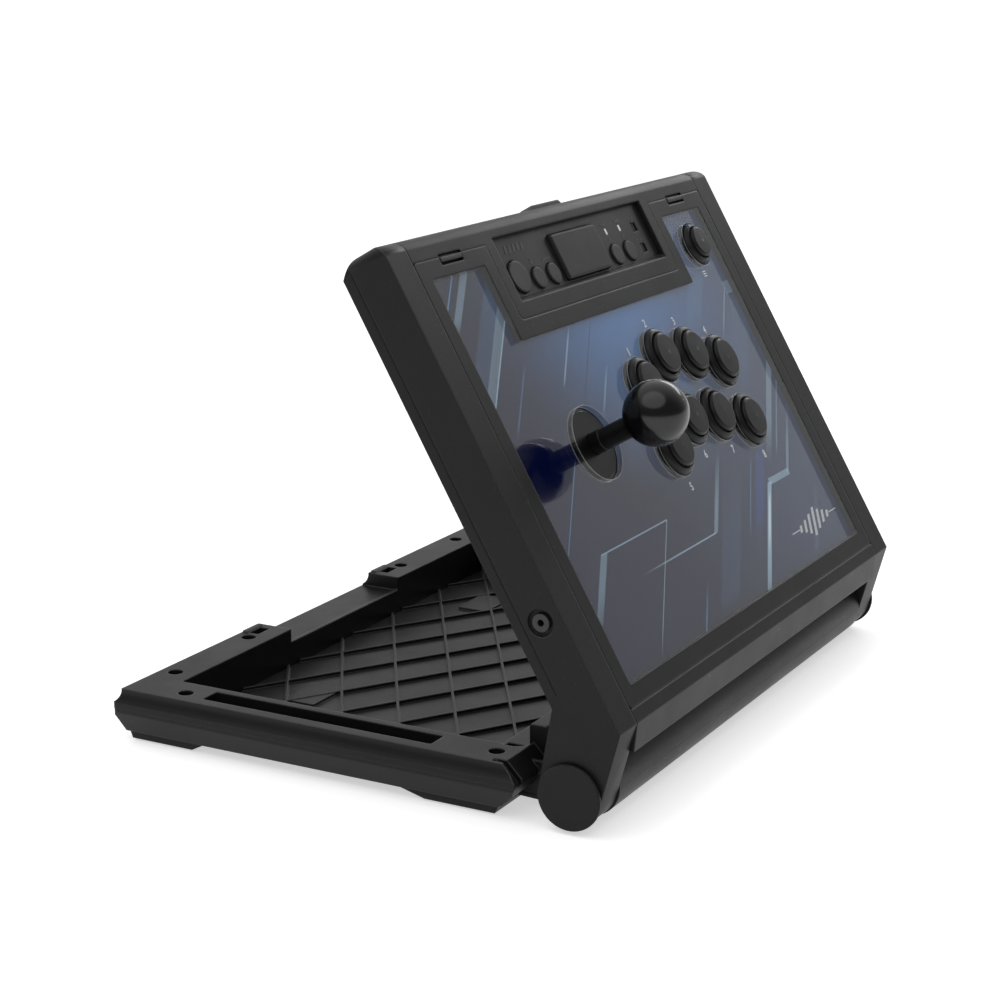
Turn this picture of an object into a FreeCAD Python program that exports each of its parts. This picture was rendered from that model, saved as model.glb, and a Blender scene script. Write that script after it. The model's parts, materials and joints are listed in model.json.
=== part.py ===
import FreeCAD, Part
import math
import os

# Clamshell arcade joystick panel, shown open.
# All sizes are millimetres.  X runs across the panel, +Y to the back, +Z up.
# Tray parts are drawn around the hinge line; lid parts are drawn with the lid
# shut, around the same line, and are then swung open by OPEN_ANGLE.

Vec = FreeCAD.Vector
ACROSS = Vec(1, 0, 0)
DEEP = Vec(0, 1, 0)
UP = Vec(0, 0, 1)
ORIGIN = Vec(0, 0, 0)

# Hinge line and the angle the lid stands at
HINGE_Y = -126.1
HINGE_Z = 19.5
OPEN_ANGLE = 60.0
HINGE_RADIUS = 17.0
BARREL_RADIUS = 16.8
BARREL_HALF = 171.4
PIN_RADIUS = 5.0
RUNNING_FIT = 0.05

# Tray
TRAY_HALF = 194.0
TRAY_BACK = 274.0
TRAY_TOP = 11.0
TRAY_FRONT = 37.5
BULGE_SIDE = 3.0
BULGE_BACK = 4.5
BULGE_TOP = 3.2
BULGE_LOW = -2.2
CORNER_RADIUS = 2.5
CAVITY_HALF = 168.6
CAVITY_FRONT = 54.0
CAVITY_BACK = 251.8
FLOOR_TOP = -11.9
FLOOR_LOW = -13.7
HUMP_LOW = -18.3
FOOT_LOW = -19.5
SKIRT_HALF = 189.8
SKIRT_BACK = 271.3
RIB_STEP = 59.0
RIB_SLOPE = 0.632
RIB_SHIFT = 5.5
NOTCH_HALF = 61.0
NOTCH_FLOOR = 2.3
LATCH_X = 72.7
LATCH_Y = 266.4
LATCH_SLOT = (6.0, 3.2)
TRAY_SCREWS = [(157.4, 264.6), (183.2, 238.6), (86.0, 264.8), (179.6, 48.2)]
SCREW_SINK = 6.0
SCREW_LENGTH = 14.0
BRIDGE_LOW = 6.2
BRIDGE_TOP = 8.6
BARREL_WALL = 2.4
BARREL_END = 5.0
HINGE_BLOCK = (128.0, 160.0)
LOWER_TOP = -0.1
LONG_SLOT = (173.6, 187.0, 82.5, 225.0, -4.0)
FOOT_X = 158.0
FOOT_Y = (62.0, 252.0)
FOOT_RADIUS = 8.0
BELOW = -60.0
ABOVE = 60.0

# Lid shell
LID_HALF = 191.8
LID_FRONT = 18.5
LID_BACK = 277.0
LID_TOP = 41.0
LID_RIM = 12.4
STRIP = 172.3
WALL = 2.6
SEAM_HEIGHT = 18.2
SEAM_HALF = 0.3
BACK_SEAM = 23.45
BACK_FLAT = 283.9
SEAM_DEPTH = 0.45
SCREW_LINE = 160.8
SCREW_ROWS = (34.0, 95.0, 158.0, 220.0)
SIDE_RIBS = (90.0, 150.0, 210.0)
DECK_LOW = 32.4
DECK_TOP = 35.2
LEDGE_TOP = 36.9
EAR_CENTRE = (0.8, -0.8)
JACK_Y = 83.8
JACK_Z = 28.3

# Release tab on the back wall
RELEASE_LEFT = -26.0
RELEASE_RIGHT = 16.5

# Removable top panel, window and what lies under it
PANEL_HALF = 172.0
PANEL_FRONT = 25.8
PANEL_BACK = 269.4
TONGUE_HALF = 98.5
TONGUE_FRONT = 226.3
WINDOW_HALF = 161.7
WINDOW_FRONT = 36.5
WINDOW_BACK = 259.2
WINDOW_NOTCH_HALF = 108.4
WINDOW_NOTCH_FRONT = 216.0
PLATE_LOW = 35.3
PLATE_TOP = 36.9
ART_TOP = 37.2
ACRYLIC_LOW = 37.3
ACRYLIC_TOP = 40.8

# Sliding clips that lock the panel to the lid along its back edge
CLIP_X = 136.0
CLIP_HALF = 12.2
CLIP_SLOT_HALF = 11.2
CLIP_LOW = 38.5
CLIP_SKIN = 39.7
CLIP_TRAVEL = 1.4

# Play buttons: centres (across, up the panel)
BUTTONS = [(-4.4, 170.4), (28.6, 182.3), (63.4, 177.6), (96.0, 166.6),
           (-6.9, 131.7), (25.5, 143.6), (59.4, 139.1), (94.5, 128.1)]
OPTION_BUTTON = (136.2, 237.5)
BEZEL_TOP = 43.8
PLUNGER_TOP = 46.2
BEZEL_RADIUS = 16.0
PLUNGER_RADIUS = 12.2
BODY_RADIUS = 14.9
OPTION_SCALE = 0.8
BODY_BOTTOM = 17.5
SWITCH_LOW = 20.2
SWITCH_TOP = 27.4

# Joystick
STICK_X = -83.1
STICK_Y = 152.2
PIVOT_HEIGHT = 28.0
PIVOT_RADIUS = 7.0
CRADLE_INNER = 7.3
CRADLE_OUTER = 9.0
SOCKET_RADIUS = 9.3
CRADLE_HALF = 4.0
BALL_HEIGHT = 79.1
BALL_RADIUS = 17.5
SHAFT_RADIUS = 5.0
COVER_RADIUS = 6.0
COLLAR_RADIUS = 6.25
WASHER_RADIUS = 19.05
WASHER_HOLE_IN_WINDOW = 21.1
WASHER_LOW = 37.05
WASHER_TOP = 38.4
HOUSING_HALF = 29.0
HOUSING_LOW = 8.0
HOUSING_TOP = 33.5
GATE_LOW = 4.9
GATE_TOP = 7.9
STICK_BOARD_LOW = 19.6
STICK_BOARD_TOP = 21.2
COVER_LOW = 33.6
COVER_TOP = 62.6
COLLAR_LOW = 40.6
COLLAR_TOP = 45.0
THREAD_RADIUS = 3.0
SHAFT_TOP = 66.0
THREAD_TOP = 76.0

# Function panel
RECESS_HALF = 89.8
RECESS_FRONT = 235.4
RECESS_BACK = 272.4
RECESS_FLOOR = 37.8
HOME = (-76.1, 248.9)
SMALL_BUTTONS = [(-56.5, 245.5), (-39.3, 245.5), (39.4, 245.6), (56.7, 245.6)]
TOUCHPAD = (-1.7, 253.0)
TOUCHPAD_SIZE = (54.0, 27.0)
LED_SLOTS = [(39.7, 260.3), (57.0, 260.4)]
LED_HALF = (0.95, 1.75)
SLIDE_SWITCHES = [(75.3, 258.5), (75.3, 245.2)]
SLOT_HALF = (3.1, 2.7)
KNOB_WIDE = 3.4
BOARD_LOW = 29.0
BOARD_TOP = 30.6


def block(x0, x1, y0, y1, z0, z1):
    return Part.makeBox(x1 - x0, y1 - y0, z1 - z0, Vec(x0, y0, z0))


def upright_block(place, half, z0, z1):
    """Block centred on a place, reaching half[0] across and half[1] deep each way."""
    x, y = place
    return block(x - half[0], x + half[0], y - half[1], y + half[1], z0, z1)


def rod(radius, x, y, z0, z1):
    return Part.makeCylinder(radius, z1 - z0, Vec(x, y, z0), UP)


def rod_across(radius, x0, x1, y=0.0, z=0.0):
    return Part.makeCylinder(radius, x1 - x0, Vec(x0, y, z), ACROSS)


def ring(outer, inner, x, y, z0, z1):
    return rod(outer, x, y, z0, z1).cut(rod(inner, x, y, z0 - 1, z1 + 1))


def ring_across(outer, inner, x0, x1, y=0.0, z=0.0):
    return rod_across(outer, x0, x1, y, z).cut(rod_across(inner, x0 - 1, x1 + 1, y, z))


def outline(points):
    """Closed face from points; a point given as ("arc", middle, end) adds an arc."""
    edges = []
    start = points[0]
    last = start
    for item in points[1:] + [start]:
        if item[0] == "arc":
            edges.append(Part.Arc(Vec(*last), Vec(*item[1]), Vec(*item[2])).toShape())
            last = item[2]
        elif (Vec(*item) - Vec(*last)).Length > 1e-6:
            edges.append(Part.LineSegment(Vec(*last), Vec(*item)).toShape())
            last = item
    return Part.Face(Part.Wire(edges))


def lift(point, place):
    if point[0] == "arc":
        return ("arc", place(point[1]), place(point[2]))
    return place(point)


def profile_across(points, x0, x1):
    """Outline of (y, z) points pushed along X from x0 to x1."""
    face = outline([lift(p, lambda q: (x0, q[0], q[1])) for p in points])
    return face.extrude(Vec(x1 - x0, 0, 0))


def profile_deep(points, y0, y1):
    """Outline of (x, z) points pushed along Y from y0 to y1."""
    face = outline([lift(p, lambda q: (q[0], y0, q[1])) for p in points])
    return face.extrude(Vec(0, y1 - y0, 0))


def profile_up(points, z0, z1):
    """Outline of (x, y) points pushed up from z0 to z1."""
    face = outline([lift(p, lambda q: (q[0], q[1], z0)) for p in points])
    return face.extrude(Vec(0, 0, z1 - z0))


def turned(points, x, y):
    """Outline of (radius, z) points turned round the upright line at (x, y)."""
    face = outline([lift(p, lambda q: (q[0], 0, q[1])) for p in points])
    solid = face.revolve(ORIGIN, UP, 360)
    solid.translate(Vec(x, y, 0))
    return solid


def rounded_block(x0, x1, y0, y1, z0, z1, radius):
    shape = block(x0, x1, y0, y1, z0, z1)
    upright = [e for e in shape.Edges if abs(e.Length - (z1 - z0)) < 1e-6
               and abs(e.tangentAt(e.FirstParameter).z) > 0.99]
    return shape.makeFillet(radius, upright)


def joined(shapes):
    return shapes[0].multiFuse(shapes[1:]).removeSplitter()


def without(shape, cutters):
    return shape.cut(cutters)


def mirrored(shape):
    return shape.mirror(ORIGIN, ACROSS)


def both_sides(shape):
    return [shape, mirrored(shape)]


def moved(shape, x=0.0, y=0.0, z=0.0):
    copy = shape.copy()
    copy.translate(Vec(x, y, z))
    return copy


def tangent_point(outside, centre, radius, side):
    """Where the line from a point touches a circle; side is +1 or -1."""
    dy = outside[0] - centre[0]
    dz = outside[1] - centre[1]
    angle = math.atan2(dz, dy) + side * math.acos(radius / math.hypot(dy, dz))
    return (centre[0] + radius * math.cos(angle), centre[1] + radius * math.sin(angle))


def tray_part(shape):
    return moved(shape, 0, HINGE_Y, HINGE_Z)


def lid_part(shape):
    copy = shape.copy()
    copy.rotate(ORIGIN, ACROSS, OPEN_ANGLE)
    copy.translate(Vec(0, HINGE_Y, HINGE_Z))
    return copy


def save(shape, name):
    shape.exportStep("parts/" + name + ".step")


# ---------------------------------------------------------------- tray

def tray_rim_solid():
    """Rim of the tray: flat top, hollow sweep, then a bulge down to the seam."""
    side = TRAY_HALF
    wide = TRAY_HALF + BULGE_SIDE
    across = profile_deep([(-side, TRAY_TOP), (side, TRAY_TOP),
                           ("arc", (side + 0.7, 6.4), (wide, BULGE_TOP)),
                           (wide, 0.0), (-wide, 0.0), (-wide, BULGE_TOP),
                           ("arc", (-side - 0.7, 6.4), (-side, TRAY_TOP))], 20, 300)
    back = TRAY_BACK
    far = TRAY_BACK + BULGE_BACK
    deep = profile_across([(20, TRAY_TOP), (back, TRAY_TOP),
                           ("arc", (back + 1.1, 6.4), (far, BULGE_TOP)),
                           (far, 0.0), (20, 0.0)], -200, 200)
    corner = rounded_block(-wide, wide, 0, far, -1, 12, CORNER_RADIUS)
    return across.common(deep).common(corner)


def tray_front_cutter():
    """Space in front of the sloping front face of the tray corners."""
    slope = [(TRAY_FRONT, TRAY_TOP + 1), (TRAY_FRONT, TRAY_TOP), (28.9, 2.4), (28.9, -1),
             (0, -1), (0, TRAY_TOP + 1)]
    return both_sides(profile_across(slope, 160.0, 200.0))


def ear_groove_cutter():
    """Slot in the tray corner that the thin side wall of the lid drops into."""
    slope = [(44.5, TRAY_TOP + 1), (44.5, TRAY_TOP), (31.0, -0.5), (0, -0.5), (0, TRAY_TOP + 1)]
    return both_sides(profile_across(slope, LID_HALF - WALL - 0.6, LID_HALF + 0.7))


def rim_hollow():
    """Room under the rim of the tray, so that it is a moulding and not a block."""
    outer = TRAY_HALF - 1.2
    side = block(CAVITY_HALF + 2.4, outer, 60, TRAY_BACK - 1.2, -1, TRAY_TOP - WALL)
    back = block(-outer, outer, CAVITY_BACK + 2.4, TRAY_BACK - 1.2, -1, TRAY_TOP - WALL)
    middle = block(-NOTCH_HALF - 3, NOTCH_HALF + 3, 200, 300, NOTCH_FLOOR - WALL, 20)
    posts = [rod(6.4, x, y, -2, 20) for x, y in tray_screw_places()]
    pockets = []
    for slot in long_slot_blocks(1.8):
        pockets.append(slot)
    for sign in (-1, 1):
        x = sign * LATCH_X
        pockets.append(block(x - 8, x + 8, LATCH_Y - 5.2, LATCH_Y + 5.2, -2, 20))
    hollow = joined(both_sides(side) + [back])
    return hollow.cut(posts + pockets + [middle])


def tray_screw_places():
    places = []
    for x, y in TRAY_SCREWS:
        places.append((x, y))
        places.append((-x, y))
    return places


def long_slot_blocks(grow=0.0):
    near, far, front, back, low = LONG_SLOT
    slot = rounded_block(near - grow, far + grow, front - grow, back + grow,
                         low - grow, TRAY_TOP + 2, 1.2)
    return both_sides(slot)


def barrel_half(top):
    """Half of the hinge barrel that lies between the lid ears, with closed ends."""
    tube = ring_across(BARREL_RADIUS, BARREL_RADIUS - BARREL_WALL, -BARREL_HALF, BARREL_HALF)
    ends = []
    for sign in (-1, 1):
        x0 = min(sign * BARREL_HALF, sign * (BARREL_HALF - BARREL_END))
        ends.append(rod_across(BARREL_RADIUS - 0.5, x0, x0 + BARREL_END))
    whole = joined([tube] + ends)
    bore = rod_across(PIN_RADIUS, -BARREL_HALF - 1, BARREL_HALF + 1)
    side = block(-200, 200, -30, 30, 0, 30) if top else block(-200, 200, -30, 30, -30, 0)
    return whole.cut(bore).common(side)


def tunnel_ends(back, low, high):
    """Walls that close the two ends of the space between barrel and cavity."""
    return both_sides(block(CAVITY_HALF + 0.2, BARREL_HALF - 0.4, 14.0, back, low, high))


def barrel_hollow():
    reach = BARREL_HALF - BARREL_END
    return rod_across(BARREL_RADIUS - BARREL_WALL, -reach, reach)


def hinge_blocks():
    """Two upstands behind the barrel that carry the load of the open lid."""
    body = profile_across([(39.8, 0.0), (39.8, 19.6), ("arc", (39.4, 20.5), (38.6, 20.8)),
                           (31.0, 20.8), ("arc", (29.9, 20.4), (29.4, 19.4)),
                           (27.0, 10.0), (16.0, 8.0), (15.0, 0.0)], *HINGE_BLOCK)
    body = body.cut(block(HINGE_BLOCK[0] + 3, HINGE_BLOCK[1] - 3, 18, 37.0, -1, 17.8))
    return both_sides(body)


def tray_upper():
    rim = tray_rim_solid()
    cavity = rounded_block(-CAVITY_HALF, CAVITY_HALF, CAVITY_FRONT, CAVITY_BACK,
                           BELOW, ABOVE, 1.5)
    scoop = both_sides(rod(9.0, 161.0, 47.0, 3.6, 30).common(block(150, 169.6, 38, 60, 0, 30)))
    middle_front = block(-160, 160, 0, CAVITY_FRONT, -1, 30)
    notch = rounded_block(-NOTCH_HALF, NOTCH_HALF, CAVITY_BACK - 6, 300, NOTCH_FLOOR, 30, 4.0)
    rim = without(rim, [cavity, notch, middle_front] + scoop + tray_front_cutter())
    rim = without(rim, [rim_hollow()] + ear_groove_cutter() + long_slot_blocks())
    wall = profile_across([(CAVITY_BACK, 3.0), (CAVITY_BACK, FLOOR_TOP + 0.1),
                           (CAVITY_BACK + 2.2, FLOOR_TOP + 0.1), (CAVITY_BACK + 2.2, 3.0)],
                          -CAVITY_HALF - 2, CAVITY_HALF + 2)
    side_wall = block(CAVITY_HALF, CAVITY_HALF + 2.2, CAVITY_FRONT, CAVITY_BACK + 2,
                      FLOOR_TOP + 0.1, 3.0)
    bridge = block(-160, 160, 14.5, CAVITY_FRONT, BRIDGE_LOW, BRIDGE_TOP)
    front_wall = block(-CAVITY_HALF - 2, CAVITY_HALF + 2, CAVITY_FRONT - 2.4, CAVITY_FRONT,
                       FLOOR_TOP + 0.1, BRIDGE_TOP)
    body = joined([rim, wall, bridge, front_wall, barrel_half(True)]
                  + both_sides(side_wall) + hinge_blocks() + tunnel_ends(52.0, 0.0, BRIDGE_LOW + 0.1))
    holes = []
    for x, y in tray_screw_places():
        holes.append(rod(4.3, x, y, TRAY_TOP - SCREW_SINK, TRAY_TOP + 1))
        holes.append(rod(1.9, x, y, -5, TRAY_TOP))
    for sign in (-1, 1):
        x = sign * LATCH_X
        holes.append(upright_block((x, LATCH_Y), LATCH_SLOT, -3, TRAY_TOP + 1))
    lips = [rounded_block(sign * 71.5 - 8.5, sign * 71.5 + 8.5, LATCH_Y + 3.9,
                          TRAY_BACK - 0.3, TRAY_TOP - 1, TRAY_TOP + 0.8, 1.2)
            for sign in (-1, 1)]
    inside = barrel_hollow()
    return joined([body.cut(holes + [inside])] + lips)


def hump(y0, y1, slope0, slope1):
    """Raised foot under one corner: flat bottom with easy slopes along the tray."""
    outer = SKIRT_HALF
    profile = [(y0 - slope0, FLOOR_LOW + 0.5),
               (y0 - slope0 * 0.45, FLOOR_LOW - 0.9), (y0, HUMP_LOW), (y1, HUMP_LOW),
               (y1 + slope1, FLOOR_LOW + 0.5)]
    body = profile_across(profile, 118.0, outer)
    trim = profile_deep([(118, FLOOR_LOW + 1), (126, HUMP_LOW), (outer, HUMP_LOW),
                         (outer + 2.2, FLOOR_LOW + 1)], 0, 300)
    return body.common(trim)


def floor_ribs():
    """Lattice of thin ribs in two slanting families, kept inside the cavity."""
    ribs = []
    reach = 200.0
    room = block(-CAVITY_HALF + 0.6, CAVITY_HALF - 0.6, CAVITY_FRONT + 0.6,
                 CAVITY_BACK - 0.6, FLOOR_TOP - 0.5, FLOOR_TOP + 2.0)
    half = 0.75 * math.hypot(1, RIB_SLOPE)
    for family in (-1, 1):
        for count in range(-7, 8):
            start = family * (RIB_SHIFT + RIB_STEP * count)
            x1 = start + family * reach * 1.6
            y1 = CAVITY_BACK - RIB_SLOPE * reach * 1.6
            rib = profile_up([(start, CAVITY_BACK - half), (start, CAVITY_BACK + half),
                              (x1, y1 + half), (x1, y1 - half)],
                             FLOOR_TOP - 0.5, FLOOR_TOP + 2.0).common(room)
            if rib.Volume > 1.0:
                ribs.append(rib)
    return ribs


def tray_lower():
    wide = TRAY_HALF + BULGE_SIDE - 0.15
    far = TRAY_BACK + BULGE_BACK - 0.15
    low = FLOOR_LOW
    slope = (TRAY_HALF + BULGE_SIDE - SKIRT_HALF) / (BULGE_LOW - HUMP_LOW + 0.7)
    edge = wide - slope * (BULGE_LOW - low)
    across = profile_deep([(-wide, LOWER_TOP), (wide, LOWER_TOP), (wide, BULGE_LOW), (edge, low),
                           (-edge, low), (-wide, BULGE_LOW)], 20, 300)
    back_edge = far - slope * (BULGE_LOW - low)
    deep = profile_across([(29.0, LOWER_TOP), (far, LOWER_TOP), (far, BULGE_LOW), (back_edge, low),
                           (41.0, low), (31.0, -5.0)], -200, 200)
    corner = rounded_block(-wide, wide, 0, far, -30, 1, CORNER_RADIUS)
    shell = across.common(deep).common(corner)
    inner = block(-wide + 3.2, wide - 3.2, 46.0, far - 3.2, -2.5, 1)
    deep_inner = block(-edge + 2.4, edge - 2.4, 48.0, back_edge - 2.4, FLOOR_TOP, 1)
    shell = shell.cut([inner, deep_inner])
    shell = shell.cut(block(-172.2, 172.2, 0, 46.0, -30, 1))
    humps = []
    for y0, y1, s0, s1 in [(44.0, 85.0, 4.0, 20.0), (231.0, SKIRT_BACK - 0.5, 16.0, 2.0)]:
        humps.extend(both_sides(hump(y0, y1, s0, s1)))
    posts = [rod(4.6, x, y, FLOOR_TOP - 1, -0.4) for x, y in tray_screw_places()]
    bridge = profile_across([(6.0, -15.2), (46.5, FLOOR_LOW), (46.5, FLOOR_TOP), (6.0, -13.0)],
                            -BARREL_HALF, BARREL_HALF)
    floor_front = block(-172.2, 172.2, 45.0, 60.0, FLOOR_LOW, FLOOR_TOP)
    pads = [rounded_block(x - 15.6, x + 15.6, 200.8, 221.4, FLOOR_TOP - 0.5,
                          FLOOR_TOP + 1.6, 0.8) for x in (-100.2, 100.2)]
    body = joined([shell, bridge, floor_front, barrel_half(False)] + humps + posts
                  + tunnel_ends(46.5, FLOOR_LOW + 0.2, LOWER_TOP))
    body = joined([body] + floor_ribs() + pads)
    inside = barrel_hollow()
    bores = [rod(1.5, x, y, FLOOR_TOP, 0) for x, y in tray_screw_places()]
    feet = [rod(FOOT_RADIUS + 0.2, x, y, HUMP_LOW - 1, HUMP_LOW + 1.2) for x, y in foot_places()]
    return body.cut([inside] + bores + feet)


def foot_places():
    return [(x, y) for x in (-FOOT_X, FOOT_X) for y in FOOT_Y]


def rubber_feet():
    feet = []
    for x, y in foot_places():
        feet.append(turned([(0, FOOT_LOW), (FOOT_RADIUS - 1.2, FOOT_LOW),
                            (FOOT_RADIUS - 0.2, FOOT_LOW + 1.0), (FOOT_RADIUS, HUMP_LOW + 1.1),
                            (0, HUMP_LOW + 1.1)], x, y))
    return Part.makeCompound(feet)


def pan_screw(x, y, head_z, length, head=2.9, shank=1.45):
    """Cross-head screw, head underside at head_z, shank pointing down."""
    dome = turned([(0, head_z), (head, head_z), (head, head_z + 1.0),
                   ("arc", (head * 0.72, head_z + 1.9), (0, head_z + 2.2))], x, y)
    shaft = rod(shank, x, y, head_z - length, head_z + 0.1)
    bar = block(x - 1.6, x + 1.6, y - 0.35, y + 0.35, head_z + 1.1, head_z + 3)
    other = block(x - 0.35, x + 0.35, y - 1.6, y + 1.6, head_z + 1.1, head_z + 3)
    return joined([dome, shaft]).cut([bar, other])


def tray_screws():
    seat = TRAY_TOP - SCREW_SINK + 0.05
    return Part.makeCompound([pan_screw(x, y, seat, SCREW_LENGTH, 3.6, 1.45)
                              for x, y in tray_screw_places()])


def latch_strikes():
    """Steel keepers under the latch slots that the lid hooks catch on."""
    keepers = []
    for sign in (-1, 1):
        x = sign * LATCH_X
        plate = upright_block((x, LATCH_Y), (7.6, 4.9), -1.6, -0.4)
        keepers.append(plate.cut(upright_block((x, LATCH_Y), (5.8, 3.1), -3, 1)))
    return Part.makeCompound(keepers)


def hinge_pins():
    """Friction-hinge shafts: fixed in the barrel ends, the lid ears turn on them."""
    pins = []
    for sign in (-1, 1):
        x0 = sign * 150.0
        x1 = sign * 187.0
        pin = rod_across(PIN_RADIUS, min(x0, x1), max(x0, x1))
        flange_x = sign * (BARREL_HALF - 7.2)
        flange = rod_across(8.5, min(flange_x, flange_x + sign * 2), max(flange_x, flange_x + sign * 2))
        pins.append(joined([pin, flange]))
    return Part.makeCompound(pins)


# ---------------------------------------------------------------- lid shell

def lid_back_curve():
    return [("arc", (282.4, 37.2), (BACK_FLAT, 29.5)), (BACK_FLAT, BACK_SEAM),
            ("arc", (283.2, 20.0), (281.4, 17.4)), (276.6, LID_RIM)]


def ear_profile():
    """Side view of the lid end: face, back curve, rim, then the ear round the hinge."""
    front = (LID_FRONT, LID_TOP)
    rear = (43.2, LID_RIM)
    front_touch = tangent_point(front, EAR_CENTRE, HINGE_RADIUS, 1)
    rear_touch = tangent_point(rear, EAR_CENTRE, HINGE_RADIUS, -1)
    reach = HINGE_RADIUS * math.cos(math.radians(45))
    low = (EAR_CENTRE[0] - reach, EAR_CENTRE[1] - reach)
    return [front, (LID_BACK, LID_TOP)] + lid_back_curve() + [
        rear, rear_touch, ("arc", low, front_touch)]


def lid_side(sign):
    """Side cover of the lid: top strip, side wall and the ear that holds the hinge."""
    solid = profile_across(ear_profile(), STRIP, LID_HALF)
    corner = rounded_block(-LID_HALF, LID_HALF, -40, BACK_FLAT, -40, 60, 6.0)
    solid = solid.common(corner)
    inner = profile_across([(30.5, LID_TOP - WALL), (279.0, LID_TOP - WALL),
                            ("arc", (280.6, 33.0), (281.3, 28.0)), (281.3, 24.0),
                            ("arc", (280.4, 20.4), (279.0, 18.6)), (274.0, LID_RIM - 1),
                            (40.0, -40), (0, -40), (20.0, 12.0)],
                           STRIP - 1, LID_HALF - WALL)
    hub = rod_across(HINGE_RADIUS - 0.2, STRIP, LID_HALF, *EAR_CENTRE)
    front_wall = profile_across([(LID_FRONT, LID_TOP), (30.5, LID_TOP), (30.5, LID_TOP - WALL),
                                 (12.0, 14.0), (0, 15), (-11, 11)], STRIP, LID_HALF)
    front_wall = front_wall.common(solid)
    shell = solid.cut(inner)
    ribs = []
    for y in SIDE_RIBS:
        rib = profile_across([(y, LID_TOP - 1), (y, 24.0), (y + 1.8, 24.0), (y + 1.8, LID_TOP - 1)],
                             STRIP + 6, LID_HALF - 1)
        ribs.append(rib)
    shell = joined([shell, hub.common(solid), front_wall] + ribs)
    bore = rod_across(PIN_RADIUS + RUNNING_FIT, STRIP - 1, LID_HALF - 3.6)
    cap_bore = rod_across(13.6, LID_HALF - 3.6, LID_HALF + 1)
    outside = LID_HALF - SEAM_DEPTH
    seam = block(outside, LID_HALF + 1, 47.5, 300, SEAM_HEIGHT - SEAM_HALF, SEAM_HEIGHT + SEAM_HALF)
    back_seam = back_seam_groove(STRIP - 1, LID_HALF + 1)
    strip_seam = block(STRIP - 1, STRIP + 0.35, 0, 300, LID_TOP - 0.6, LID_TOP + 1)
    shell = shell.cut([bore, cap_bore, seam, back_seam, strip_seam, lid_stay_clear()])
    if sign < 0:
        shell = mirrored(shell)
        shell = joined([shell, jack_boss()]).cut(jack_cutters())
    return shell


def back_seam_groove(x0, x1):
    """Fine line across the back wall where the two lid mouldings meet."""
    return block(x0, x1, BACK_FLAT - SEAM_DEPTH, 300, BACK_SEAM - SEAM_HALF, BACK_SEAM + SEAM_HALF)


def lid_stay_clear():
    """Trim where the deck frame of the lid middle reaches under the side strips."""
    return block(STRIP - 1, STRIP + 5.2, 29.0, 276.0, 31.8, LID_TOP - WALL)


def jack_boss():
    return rod_across(9.2, -LID_HALF + 1.0, -LID_HALF + 5.0, JACK_Y, JACK_Z)


def jack_cutters():
    return [rod_across(7.2, -LID_HALF - 1, -LID_HALF + 2.4, JACK_Y, JACK_Z),
            rod_across(4.7, -LID_HALF - 1, -LID_HALF + 9, JACK_Y, JACK_Z)]


def tongue_recess():
    """Sunk area for the function controls, with a ramp along its front edge."""
    return profile_across([(RECESS_FRONT, LID_TOP + 1), (RECESS_FRONT, LID_TOP),
                           (RECESS_FRONT + 3.0, RECESS_FLOOR + 0.05),
                           (RECESS_FRONT + 3.0, 30), (RECESS_BACK, 30),
                           (RECESS_BACK, LID_TOP + 1)], -RECESS_HALF, RECESS_HALF)


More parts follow.
